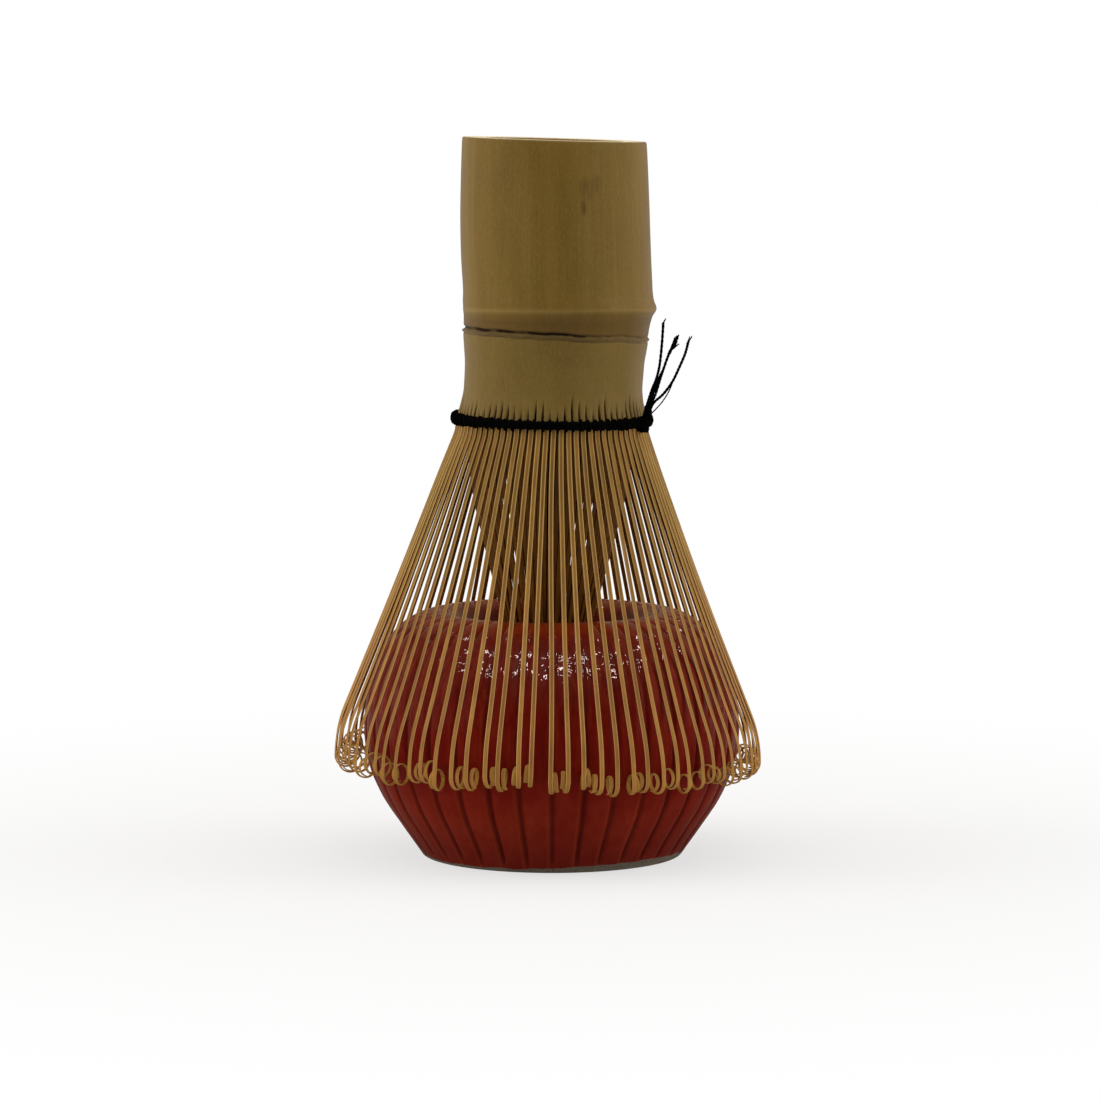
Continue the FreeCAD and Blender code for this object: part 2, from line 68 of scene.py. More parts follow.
def through(points, x):
    """A smooth curve through (x, value) points that never overshoots them."""
    px, py = np.array(points, float).T
    step = np.diff(px)
    slope = np.diff(py) / step
    same_way = slope[:-1] * slope[1:] > 0
    before, after = slope[:-1][same_way], slope[1:][same_way]
    tangent = np.zeros_like(py)
    tangent[1:-1][same_way] = 2 * before * after / (before + after)
    tangent[0], tangent[-1] = slope[0], slope[-1]
    x = np.clip(np.asarray(x, float), px[0], px[-1])
    i = np.clip(np.searchsorted(px, x, side="right") - 1, 0, len(step) - 1)
    t = (x - px[i]) / step[i]
    ends = (1 + 2 * t) * (1 - t) ** 2 * py[i] + t * t * (3 - 2 * t) * py[i + 1]
    pulls = t * (1 - t) ** 2 * tangent[i] + t * t * (t - 1) * tangent[i + 1]
    return ends + pulls * step[i]


def along_stops(stops, steps):
    """Points along a smooth curve through stops, with the place of each between the stops."""
    stops = np.array(stops, float)
    knots = np.arange(len(stops))
    t = np.linspace(0, len(stops) - 1, steps)
    curves = [through(np.stack([knots, column], axis=-1), t) for column in stops.T]
    return np.stack(curves, axis=-1), t


def smooth(low, high, x):
    """0 below low, 1 above high, eased between."""
    t = np.clip((np.asarray(x, float) - low) / (high - low), 0, 1)
    return t * t * (3 - 2 * t)


def bell(x, middle, width):
    """A bump of height 1."""
    return np.exp(-(((np.asarray(x, float) - middle) / width) ** 2))


def polar(radius, angle, z):
    """Points by their distance from the Z axis, their angle from +X and their height."""
    points = np.broadcast_arrays(radius * np.cos(angle), radius * np.sin(angle), z)
    return np.stack(points, axis=-1)


def axes_at(azimuth):
    """Unit vectors at an azimuth: away from the Z axis, anticlockwise round it, and up."""
    x, y = math.cos(azimuth), math.sin(azimuth)
    return np.array([x, y, 0]), np.array([-y, x, 0]), np.array([0, 0, 1.0])


def field(points, scale, seed=0.0):
    """Smooth noise from -1 to 1 at points."""
    shift = Vector((seed, 2.7 * seed, -1.3 * seed))
    return np.array([noise.noise(Vector(p) * scale + shift) for p in points])


def ring_noise(angles, cycles, seed):
    """Smooth noise round a circle, which closes on itself."""
    return field(polar(cycles / TAU, angles, 0.0), 1.0, seed)


def arc(start, end, radius, side, steps):
    """Points along an arc in (r, z), from start up to but not including end; side 1 bulges left."""
    start, end = np.array(start, float), np.array(end, float)
    chord = end - start
    length = np.hypot(*chord)
    left = np.array([-chord[1], chord[0]]) / length
    centre = (start + end) / 2 - left * side * math.sqrt(radius**2 - (length / 2) ** 2)
    begin = math.atan2(*(start - centre)[::-1])
    finish = math.atan2(*(end - centre)[::-1])
    if side > 0 and finish > begin:
        finish -= TAU
    if side < 0 and finish < begin:
        finish += TAU
    angles = np.linspace(begin, finish, steps, endpoint=False)
    return centre + radius * np.stack([np.cos(angles), np.sin(angles)], axis=-1)


def line(start, end, steps):
    """Points along a line, from start up to but not including end."""
    t = np.linspace(0, 1, steps, endpoint=False)[:, None]
    return np.array(start, float) * (1 - t) + np.array(end, float) * t


def outline_through(start, stretches):
    """Points in (r, z): each stretch is (end, steps), with a radius and a side for an arc."""
    points = []
    for end, steps, *bend in stretches:
        points.append(arc(start, end, *bend, steps) if bend else line(start, end, steps))
        start = end
    return np.concatenate(points)


def grid_faces(rows, columns, wrap_rows=False):
    """Quads over a grid of vertices whose columns wrap round."""
    i = np.arange(rows if wrap_rows else rows - 1)[:, None]
    j = np.arange(columns)[None, :]
    following, beside = (i + 1) % rows, (j + 1) % columns
    corners = [i * columns + j, i * columns + beside, following * columns + beside]
    corners.append(following * columns + j)
    return np.stack(np.broadcast_arrays(*corners), axis=-1).reshape(-1, 4).tolist()


def sweep(centres, sides, ups, outline, closed=False):
    """Points and faces of an outline, (n, m, 2), carried along a path with its own axes."""
    rows, columns = outline.shape[:2]
    points = centres[:, None] + outline[..., :1] * sides[:, None] + outline[..., 1:] * ups[:, None]
    faces = grid_faces(rows, columns, wrap_rows=closed)
    if not closed:
        faces.append(list(range(columns)))
        faces.append(list(range(rows * columns - columns, rows * columns))[::-1])
    return points, faces


def path_axes(points, up=(0, 0, 1), closed=False):
    """Unit axes across a path, the second as near to up as it can be."""
    if closed:
        tangent = np.roll(points, -1, axis=0) - np.roll(points, 1, axis=0)
    else:
        tangent = np.gradient(points, axis=0)
    tangent /= np.linalg.norm(tangent, axis=1, keepdims=True)
    side = np.cross(tangent, np.broadcast_to(np.array(up, float), tangent.shape))
    side /= np.linalg.norm(side, axis=1, keepdims=True)
    return side, np.cross(side, tangent)


class Parts:
    """Points, faces and per-point numbers gathered into one mesh."""

    def __init__(self):
        self.points, self.faces, self.values, self.count = [], [], {}, 0

    def add(self, points, faces, **values):
        """Adds points, in a list or a grid, and values that numpy can spread over them."""
        shape = points.shape[:-1]
        self.faces += [[i + self.count for i in face] for face in faces]
        self.points.append(points.reshape(-1, 3))
        for name, value in values.items():
            value = np.broadcast_to(np.asarray(value, float), shape).ravel()
            self.values.setdefault(name, []).append(value)
        self.count += math.prod(shape)

    def make(self, name, materials, sharp=None, weld=False, choose=None):
        """The finished object; choose gives a face's material from its centre."""
        mesh = bpy.data.meshes.new(name)
        points = np.concatenate(self.points) * MM
        mesh.from_pydata(points.tolist(), [], self.faces)
        for key, value in self.values.items():
            layer = mesh.attributes.new(key, "FLOAT", "POINT")
            layer.data.foreach_set("value", np.concatenate(value).astype(np.float32))
        work = bmesh.new()
        work.from_mesh(mesh)
        if weld:
            bmesh.ops.remove_doubles(work, verts=work.verts, dist=0.002 * MM)
            bmesh.ops.dissolve_degenerate(work, edges=work.edges, dist=0.001 * MM)
        bmesh.ops.recalc_face_normals(work, faces=work.faces)
        work.to_mesh(mesh)
        work.free()
        for material in materials:
            mesh.materials.append(material)
        if choose:
            for polygon in mesh.polygons:
                polygon.material_index = choose(polygon.center / MM)
        mesh.shade_smooth()
        if sharp:
            mesh.set_sharp_from_angle(angle=math.radians(sharp))
        piece = bpy.data.objects.new(name, mesh)
        bpy.context.scene.collection.objects.link(piece)
        return piece


def stand_in(piece, body, node):
    """Puts a piece on a body, in place of a CAD node."""
    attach(piece, body)
    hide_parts(node)


# ---- materials

def srgb(red, green, blue):
    """An 8-bit screen colour as linear RGBA."""
    return (*(((c / 255 + 0.055) / 1.055) ** 2.4 for c in (red, green, blue)), 1.0)


class Nodes:
    """A node tree, with short calls for the kinds used here. Scales are in cycles a metre."""

    def __init__(self, tree):
        self.tree = tree

    def feed(self, socket, value):
        if isinstance(value, bpy.types.NodeSocket):
            self.tree.links.new(value, socket)
        else:
            socket.default_value = value

    def node(self, kind, inputs, **settings):
        made = self.tree.nodes.new(kind)
        for key, value in settings.items():
            setattr(made, key, value)
        for key, value in inputs.items():
            self.feed(made.inputs[key], value)
        return made

    def place(self):
        return self.node("ShaderNodeTexCoord", {}).outputs["Object"]

    def rays(self):
        return self.node("ShaderNodeLightPath", {}).outputs

    def value(self, name):
        return self.node("ShaderNodeAttribute", {}, attribute_name=name).outputs["Fac"]

    def join(self, x, y, z=0.0):
        return self.node("ShaderNodeCombineXYZ", {0: x, 1: y, 2: z}).outputs[0]

    def split(self, vector):
        return self.node("ShaderNodeSeparateXYZ", {0: vector}).outputs

    def scaled(self, vector, scale):
        inputs = {"Vector": vector, "Scale": np.broadcast_to(scale, 3).tolist()}
        return self.node("ShaderNodeMapping", inputs).outputs[0]

    def noise(self, vector, scale=None, detail=3.0, roughness=0.55):
        place = self.scaled(vector, scale) if scale else vector
        inputs = {"Vector": place, "Scale": 1.0, "Detail": detail, "Roughness": roughness}
        return self.node("ShaderNodeTexNoise", inputs).outputs["Fac"]

    def cells(self, vector, scale):
        inputs = {"Vector": self.scaled(vector, scale), "Scale": 1.0}
        return self.node("ShaderNodeTexVoronoi", inputs).outputs["Distance"]

    def math(self, operation, a, b=0.0, clamp=False):
        made = self.node("ShaderNodeMath", {0: a, 1: b}, operation=operation, use_clamp=clamp)
        return made.outputs[0]

    def plus(self, a, b, clamp=False):
        return self.math("ADD", a, b, clamp)

    def times(self, a, b, clamp=False):
        return self.math("MULTIPLY", a, b, clamp)

    def from_axis(self, x, y):
        return self.math("SQRT", self.plus(self.times(x, x), self.times(y, y)))

    def ease(self, value, low, high, to_low=0.0, to_high=1.0):
        inputs = {"Value": value, "From Min": low, "From Max": high}
        inputs.update({"To Min": to_low, "To Max": to_high})
        made = self.node("ShaderNodeMapRange", inputs, interpolation_type="SMOOTHSTEP")
        return made.outputs["Result"]

    def mix(self, factor, a, b, blend="MIX"):
        made = self.node("ShaderNodeMix", {}, data_type="RGBA", blend_type=blend)
        for index, value in ((0, factor), (6, a), (7, b)):
            self.feed(made.inputs[index], value)
        return made.outputs[2]

    def coats(self, colour, *coats):
        """A colour under coats of (mask, amount, shade) or (value, low, high, amount, shade)."""
        for value, *span, amount, shade in coats:
            mask = self.ease(value, *span, 0, amount) if span else self.times(value, amount)
            colour = self.mix(mask, colour, srgb(*shade))
        return colour

    def bump(self, height, strength, distance, normal=None):
        inputs = {"Height": height, "Strength": strength, "Distance": distance}
        if normal:
            inputs["Normal"] = normal
        return self.node("ShaderNodeBump", inputs).outputs["Normal"]

    def glow(self, kind, colour, strength):
        return self.node(kind, {"Color": (*colour, 1), "Strength": strength}).outputs[0]

    def either(self, factor, a, b):
        return self.node("ShaderNodeMixShader", {0: factor, 1: a, 2: b}).outputs[0]


class Shader(Nodes):
    """A material's nodes."""

    def __init__(self, name):
        self.material = bpy.data.materials.new(name)
        self.material.use_nodes = True
        super().__init__(self.material.node_tree)
        self.surface = self.tree.nodes["Principled BSDF"]

    def finish(self, **inputs):
        for name, value in inputs.items():
            self.feed(self.surface.inputs[name.replace("_", " ")], value)
        return self.material


# The smudges on the barrel: (X, height, half width, half height), in mm.
SMUDGES = [(5.2, 104.8, 1.3, 1.9), (6.9, 105.6, 0.7, 1.5), (4.8, 101.8, 0.7, 1.2)]


def smudges(s, place, fibre, fleck):
    """Upright smudges at the front, broken up by the fibres."""
    x, y, z = (s.math("DIVIDE", part, MM) for part in s.split(place))
    smudge = 0.0
    for middle, height, half_width, half_height in SMUDGES:
        across = s.math("DIVIDE", s.math("SUBTRACT", x, middle), half_width)
        along = s.math("DIVIDE", s.math("SUBTRACT", z, height), half_height)
        far = s.plus(s.times(across, across), s.times(along, along))
        smudge = s.math("MAXIMUM", smudge, s.ease(far, 0.1, 1.6, 1.0, 0.0))
    smudge = s.times(smudge, s.ease(y, -6.0, -8.0))
    smudge = s.times(smudge, s.ease(fibre, 0.4, 0.6, 0.25, 1.0))
    return s.times(smudge, s.ease(fleck, 0.35, 0.6, 0.4, 1.0))


def bamboo_skin():
    """The culm's outside: fine upright fibres, a browner node with a painted highlight on its
    ridge, a dark crack with a painted shadow line under its lip, painted shade along the slits, and
    a few smudges.
    """
    s = Shader("bamboo_skin")
    place = s.place()
    fibre = s.noise(place, (2600, 2600, 45), detail=4, roughness=0.7)
    strand = s.noise(place, (700, 700, 14))
    patch = s.noise(place, (150, 150, 60), detail=2)
    fleck = s.noise(place, (1500, 1500, 500), detail=2)
    weave = s.noise(place, (3600, 3600, 1500), roughness=0.7)
    ragged = s.noise(place, (420, 420, 900))
    patchy = s.ease(patch, 0.3, 0.7)
    colour = s.mix(patchy, srgb(122, 93, 25), srgb(130, 101, 32))
    colour = s.coats(colour, (strand, 0.35, 0.8, 0.34, (146, 116, 52)),
                     (fibre, 0.35, 0.7, 0.2, (100, 73, 16)))
    below = s.mix(patchy, srgb(122, 96, 36), srgb(130, 105, 44))
    below = s.coats(below, (fibre, 0.35, 0.7, 0.16, (106, 80, 28)))
    colour = s.mix(s.value("below"), colour, below)
    lip = s.times(s.value("lip"), s.ease(strand, 0.25, 0.6, 0.5, 0.9))
    # The edge value is a painted highlight along the node's ridge.
    colour = s.coats(colour, (weave, 0.4, 0.75, 0.28, (158, 128, 64)),
                     (s.value("band"), 0.55, (92, 63, 20)), (s.value("edge"), 0.4, (166, 134, 72)),
                     (smudges(s, place, fibre, fleck), 0.5, (74, 44, 8)),
                     (fleck, 0.7, 0.78, 0.35, (92, 66, 26)), (lip, 0.85, (92, 70, 38)))
    # The dark crack, and a painted shadow line under the lip, come from the same value.
    crack = s.times(s.value("scar"), s.ease(ragged, 0.35, 0.6, 0.55, 1.15), clamp=True)
    colour = s.mix(crack, colour, srgb(34, 20, 6))
    # Painted shade on the skin along each slit's edges.
    colour = s.coats(colour, (s.value("cut"), 0.9, (74, 42, 12)))
    height = s.plus(s.times(fibre, 0.6), s.times(strand, 0.4))
    sheen = s.times(s.math("SUBTRACT", 1.0, crack), 0.26)
    return s.finish(Base_Color=colour, Roughness=s.ease(fibre, 0.3, 0.7, 0.36, 0.5),
                    Normal=s.bump(height, 0.25, 0.08 * MM), Sheen_Weight=sheen,
                    Sheen_Roughness=0.42, Specular_IOR_Level=0.3)


def bamboo_end():
    """Sawn end grain: pale, with dark bundles that crowd towards the skin."""
    s = Shader("bamboo_end_grain")
    place = s.place()
    x, y, _ = s.split(place)
    outward = s.ease(s.from_axis(x, y), 11.6 * MM, 13.8 * MM)
    wide = s.ease(s.cells(place, (1500, 1500, 200)), 0.18, 0.34, 1, 0)
    tight = s.ease(s.cells(place, (3000, 3000, 200)), 0.2, 0.4, 1, 0)
    dots = s.plus(s.times(wide, 0.8), s.times(tight, outward), clamp=True)
    saw = s.noise(place, (200, 3200, 200))
    colour = s.mix(outward, srgb(252, 240, 206), srgb(246, 228, 184))
    colour = s.coats(colour, (dots, 0.45, (130, 94, 50)), (saw, 0.4, 0.7, 0.15, (160, 130, 84)))
    normal = s.bump(s.plus(saw, s.times(dots, -0.5)), 0.5, 0.1 * MM)
    return s.finish(Base_Color=colour, Roughness=0.8, Normal=normal)


def bamboo_inside():
    """The culm's papery inside."""
    s = Shader("bamboo_inside")
    place = s.place()
    streak = s.noise(place, (900, 900, 60), detail=4)
    colour = s.mix(streak, srgb(150, 118, 70), srgb(196, 168, 118))
    colour = s.coats(colour, (s.noise(place, 420), 0.55, 0.75, 0.5, (110, 80, 44)))
    return s.finish(Base_Color=colour, Roughness=0.9, Normal=s.bump(streak, 0.4, 0.15 * MM))


def bamboo_tine(name, light, dark, deep, edge):
    """Split bamboo: each tine has its own tone, its skin face warmer than its shaved sides. Its
    chamfers carry a painted highlight, its back painted shade and its curl painted light.
    """
    s = Shader(name)
    along, across, tone = s.value("along"), s.value("across"), s.value("tone")
    lane = s.plus(across, s.times(tone, 37.0))
    fibre = s.noise(s.join(s.times(lane, 7.0), s.times(along, 0.5)), detail=4, roughness=0.65)
    patch = s.noise(s.join(s.times(tone, 50.0), s.times(along, 0.12)), detail=2)
    colour = s.mix(tone, dark, light)
    colour = s.mix(s.ease(patch, 0.35, 0.7, 0, 0.45), colour, deep)
    colour = s.mix(s.ease(fibre, 0.4, 0.75, 0, 0.5), colour, deep)
    # Near the thread the tines are darker, and their edges paler: a painted highlight on the
    # chamfers.
    upper = s.value("upper")
    colour = s.mix(s.times(upper, 0.6), colour, (0.42, 0.34, 0.11, 1), "MULTIPLY")
    edge = s.mix(upper, edge, (1.1, 1.3, 1.05, 1), "MULTIPLY")
    # The shaved chamfers are paler wood, with a painted highlight on them.
    colour = s.mix(s.times(s.value("shaved"), 0.85), colour, edge)
    # Painted shade on the tines' backs.
    colour = s.mix(s.value("back"), colour, deep)
    # Painted light on the curls.
    colour = s.mix(s.times(s.value("tip"), 0.45), colour, light)
    return s.finish(Base_Color=colour, Roughness=s.ease(fibre, 0.3, 0.7, 0.42, 0.62),
                    Normal=s.bump(fibre, 0.3, 0.05 * MM), Specular_IOR_Level=0.22)


def cotton():
    """Black cotton thread with a dusty nap."""
    s = Shader("black_cotton")
    place = s.place()
    nap = s.noise(place, 5200, roughness=0.7)
    tone = s.noise(place, 500, detail=2)
    colour = s.mix(tone, (0.0010, 0.0010, 0.0009, 1), (0.0028, 0.0027, 0.0024, 1))
    colour = s.mix(s.ease(nap, 0.58, 0.8, 0, 0.5), colour, (0.009, 0.0085, 0.0075, 1))
    return s.finish(Base_Color=colour, Roughness=0.95, Normal=s.bump(nap, 0.7, 0.08 * MM),
                    Specular_IOR_Level=0.06)


def clay_colour(s, stain, grit):
    """Grey-brown clay with darker grit."""
    return s.mix(grit, s.mix(stain, srgb(84, 76, 66), srgb(122, 112, 98)), srgb(60, 50, 42))


def bare_clay():
    """The unglazed underside: gritty, and scuffed where it stands."""
    s = Shader("bare_clay")
    place = s.place()
    grit = s.noise(place, 2400, detail=4, roughness=0.7)
    colour = clay_colour(s, s.noise(place, 260), s.ease(grit, 0.55, 0.72, 0, 0.7))
    return s.finish(Base_Color=colour, Roughness=0.92, Normal=s.bump(grit, 0.8, 0.15 * MM))


def bare_foot(s, place, ragged):
    """1 where the foot is bare. The glaze stops above it, highest at the front right."""
    x, y, z = s.split(place)
    highest = math.radians(-48)
    across = s.plus(s.times(x, math.cos(highest)), s.times(y, math.sin(highest)))
    toward = s.math("MAXIMUM", s.math("DIVIDE", across, s.from_axis(x, y)), 0.0)
    level = s.times(s.math("POWER", toward, 3.0), 0.75 * MM)
    level = s.plus(level, s.ease(ragged, 0.2, 0.8, 0.4 * MM, 0.7 * MM))
    return s.ease(s.math("SUBTRACT", z, level), -0.06 * MM, 0.06 * MM, 1.0, 0.0)


def red_glaze():
    """Red-brown glaze: it pools dark in the flutes and breaks paler over the ribs, with a painted
    highlight along one side of each flute low down.
    """
    s = Shader("red_glaze")
    place = s.place()
    z = s.split(place)[2]
    cloud = s.noise(place, (70, 70, 50))
    patch = s.noise(place, (420, 420, 260), detail=4, roughness=0.65)
    speck = s.noise(place, 2600, detail=2)
    run = s.noise(place, (900, 900, 36), roughness=0.6)
    patchy = s.ease(patch, 0.3, 0.7)
    colour = s.mix(patchy, srgb(116, 14, 2), srgb(128, 24, 4))
    low = s.mix(patchy, srgb(122, 26, 8), srgb(134, 36, 14))
    colour = s.mix(s.ease(z, 8 * MM, 16 * MM), low, colour)
    colour = s.coats(colour, (cloud, 0.35, 0.7, 0.3, (108, 10, 2)),
                     (z, 20 * MM, 34 * MM, 0.4, (112, 30, 5)))
    colour = s.mix(s.ease(z, 0.6 * MM, 9 * MM, 0.5, 0.0), colour, srgb(88, 10, 2))
    # Pale and dark runs of glaze, which fade out towards the foot.
    upper = s.ease(z, 12 * MM, 24 * MM, 0.15, 1.0)
    pale = s.times(s.ease(run, 0.5, 0.72, 0, 0.4), upper)
    colour = s.mix(pale, colour, srgb(152, 50, 16))
    dark = s.times(s.ease(run, 0.48, 0.28, 0, 0.55), upper)
    colour = s.mix(dark, colour, srgb(78, 5, 1))
    # Paler glaze over the rib middles at the shoulder, and a painted highlight by each flute low
    # down.
    colour = s.coats(colour, (s.value("crest"), 0.22, (140, 54, 16)),
                     (s.value("groove"), 0.6, (66, 5, 1)), (speck, 0.68, 0.76, 0.2, (60, 8, 3)),
                     (z, 36.2 * MM, 38 * MM, 0.4, (156, 60, 18)))
    bare = bare_foot(s, place, patch)
    colour = s.mix(bare, colour, clay_colour(s, cloud, s.ease(speck, 0.5, 0.7, 0, 0.7)))
    # The coat is wetter and more rippled than the glaze below it, which breaks up its glints.
    normal = s.bump(s.noise(place, (330, 330, 240), detail=2), 0.4, 0.25 * MM)
    wet = s.bump(s.noise(place, 800, detail=1), 0.8, 0.11 * MM, normal)
    rough = s.ease(bare, 0, 1, s.ease(patch, 0.3, 0.7, 0.3, 0.42), 0.92)
    return s.finish(Base_Color=colour, Roughness=rough, Normal=normal,
                    Coat_Weight=s.ease(bare, 0, 1, 0.7, 0.0), Coat_Roughness=0.035,
                    Coat_Normal=wet, Specular_IOR_Level=0.06)


# ---- holder

RIBS = 36
FLUTE_DEPTH = 0.3
UNDERSIDE_RADIUS = 17.6


def holder_section(height, belly):
    """The holder's outside and inside in (r, z), from under the foot to the well's floor."""
    lip = (13.5, height - 4.0)
    outside = outline_through((0.02, 1.2), [
        ((16.2, 1.2), 6), ((17.4, 0.05), 4), ((17.8, 0.0), 2, 0.6, -1), ((20.1, 0.0), 5),
        ((20.6, 0.4), 4, 0.55, -1), ((25.6, 7.57), 26), ((belly, 20.5), 34, 23.4, -1),
        ((25.45, height - 4.3), 40, 24.86, -1), ((17.5, height), 34, 9.5, -1), (lip, 18, 4.0, -1)])
    inside = outline_through(lip, [
        ((13.5, height - 7.4), 4), ((24.9, 20.0), 14, 13.5, 1), ((16.5, 4.2), 14, 26.0, 1),
        ((0.02, 4.2), 6)])
    return outside, np.concatenate([inside, [[0.02, 4.2]]])


def holder_relief(r, z, run):
    """How deep the flutes are, and how round the ribs, at each row of the section."""
    fluted = np.where(run, smooth(0.4, 2.6, z) * (1 - 0.55 * smooth(20, 32, z)), 0)
    fluted *= np.where(z > 30, 0.15 + 0.85 * smooth(17.6, 23.5, r), 1)
    fluted = np.where((r < 17.6) & (z > 30), 0.07 * smooth(34.4, 38, z), fluted)
    rounded = np.where(run, 0.16 + 0.14 * bell(z, 32.0, 6.0), 0) * smooth(0.4, 4.0, z)
    rounded *= np.where(z > 30, smooth(15, 21, r), 1)
    return fluted, rounded


def make_holder():
    """The hollow holder: ribs between narrow flutes that fade into a rounded mouth."""
    _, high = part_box("holder_body")
    outside, inside = holder_section(high.z / MM, high.x / MM)
    section = np.concatenate([outside, inside])
    tangent = np.gradient(section, axis=0)
    normal = np.stack([tangent[:, 1], -tangent[:, 0]], axis=-1)
    normal /= np.linalg.norm(normal, axis=1, keepdims=True)
    # Rows are one above another, (n, 1), and columns stand side by side, (n,).
    r, z = section[:, :1], section[:, 1:]
    outer = np.arange(len(section))[:, None] < len(outside)
    fluted, rounded = holder_relief(r, z, outer & (z > 0.3) & (r > 13))

    # u runs from -1 to 1 over each rib, from the middle of one flute to the next.
    half = np.array([0.25, 0.5, 0.7, 0.81, 0.88, 0.94])
    steps = np.concatenate([[-1], -half[::-1], [0], half])
    rib = np.repeat(np.arange(RIBS), len(steps))
    u = np.tile(steps, RIBS)
    flute = np.where(u < 0, rib, (rib + 1) % RIBS)
    # A flute's middle may stray a little, and both of its sides stray with it.
    stray = math.radians(0.35) * (rng.uniform(-1, 1, RIBS)[flute] * u**2)
    angle = TAU * (rib + 0.5 + u / 2) / RIBS + stray
    groove = smooth(0.72, 1.0, np.abs(u)) * rng.uniform(0.85, 1.15, RIBS)[flute]

    push = -FLUTE_DEPTH * fluted * groove + rounded * (0.3 - u**2)
    points = polar(r + push * normal[:, :1], angle, z + push * normal[:, 1:])
    # Thrown by hand, the wall swells a little here and there, but not where it stands.
    flat = points.reshape(-1, 3)
    swell = 0.14 * field(flat, 0.09, 3.0) + 0.035 * field(flat, 0.45, 5.0)
    out = points * (1, 1, 0)
    length = np.maximum(np.linalg.norm(out, axis=-1, keepdims=True), 1e-6)
    lifted = swell.reshape(len(r), -1) * np.where(z > 0.3, 1.0, 0.0)
    points = points + out / length * lifted[..., None]
    crest_and_highlight = smooth(0.55, 0.0, np.abs(u)) * bell(z, 32.5, 5.0)
    # A painted highlight along one side of each flute low down, where the rib's edge would catch
    # the light.
    crest_and_highlight = crest_and_highlight + 1.6 * bell(u, 0.68, 0.1) * smooth(18, 10, z)
    parts = Parts()
    parts.add(points, grid_faces(*points.shape[:2]), groove=np.minimum(groove, 1) * fluted,
              crest=crest_and_highlight)

    def kind(centre):
        under = centre.z < 1.5 and math.hypot(centre.x, centre.y) < UNDERSIDE_RADIUS
        return 1 if under or centre.z < 0.2 else 0

    holder = parts.make("holder", [red_glaze(), bare_clay()], sharp=50, weld=True, choose=kind)
    stand_in(holder, "holder", "holder_body")
    return holder


# ---- culm

BORE = 10.8
STEP_HEIGHT = 73.55
SEPTUM_LOW, SEPTUM_HIGH = 82.2, 84.2
SCAR_HEIGHT = 81.75
RIDGE_HEIGHT = 85.8
TOP_RADIUS = 14.38
TOP_TILT = math.radians(1.7)
# The sides of the culm's section: the skirt's inside, the outside, and the end with the bore.
UNDER, SKIRT_INSIDE, OUTSIDE, UPPER = 0, -1, 1, 2


def culm_section(edge, end):
    """Rows of (radius, height, side), from the septum down the hollow, round the skirt's edge,
    up the outside, over the sawn end and down the bore."""
    radius_at = [(edge, 14.98), (70, 14.55), (71.5, 14.22), (73.5, 13.97), (77, 14.02),
                 (79.5, 14.28), (80.9, 14.42), (82.5, 14.45), (84.5, 14.72), (85.8, 15.12),
                 (87.0, 14.95), (88.4, 14.8), (94, 14.83), (100, 14.78), (106, 14.62),
                 (end, TOP_RADIUS)]
    skirt = np.arange(edge, STEP_HEIGHT - 0.1, 0.3)
    wall = [skirt, np.arange(STEP_HEIGHT, 79.6, 0.5), np.arange(79.6, 83.6, 0.09)]
    wall = np.concatenate(wall + [np.arange(83.6, 87.5, 0.2), np.arange(87.5, end - 0.6, 1.1)])
    skirt_inside = np.interp(skirt, [edge, STEP_HEIGHT], [14.55, 13.3])
    stretches = [
        (UNDER, [(0.02, SEPTUM_LOW), (6, SEPTUM_LOW), (BORE, SEPTUM_LOW), (BORE, 79), (BORE, 76),
                 (BORE, STEP_HEIGHT), (12.2, STEP_HEIGHT), (13.25, STEP_HEIGHT)]),
        (SKIRT_INSIDE, list(zip(skirt_inside, skirt))[::-1]),
        (OUTSIDE, list(zip(through(radius_at, wall), wall))),
        (OUTSIDE, [(TOP_RADIUS - 0.01, end - 0.35), (TOP_RADIUS - 0.06, end - 0.14),
                   (TOP_RADIUS - 0.2, end - 0.03)]),
        (UPPER, [(radius, end) for radius in (TOP_RADIUS - 0.4, 13.4, 12.6, 11.8, 11.2)]),
        (UPPER, [(BORE + 0.08, end - 0.06), (BORE, end - 0.25)]),
        (UPPER, [(BORE, height) for height in (109, 103, 97, 91, 87, SEPTUM_HIGH)]),
        (UPPER, [(9, SEPTUM_HIGH - 0.1), (5, SEPTUM_HIGH - 0.25), (0.02, SEPTUM_HIGH - 0.3)]),
    ]
    return [(*point, side) for side, points in stretches for point in points]


def slit_walls(height, side, slit_top, width):
    """Faces that join the outside to the skirt's inside, at the same heights, along each slit."""
    inside, outside = ({round(float(h), 4): i for i, h in enumerate(height) if side[i] == part}
                       for part in (SKIRT_INSIDE, OUTSIDE))
    levels = sorted(set(inside) & set(outside))
    faces = []
    for k in range(TINES):
        for column, slit in ((width - 1, k), (0, (k - 1) % TINES)):
            for lower, upper in zip(levels, levels[1:]):
                if lower >= slit_top[slit]:
                    continue
                rows = (outside[lower], outside[upper], inside[upper], inside[lower])
                faces.append([(row * TINES + k) * width + column for row in rows])
    return faces


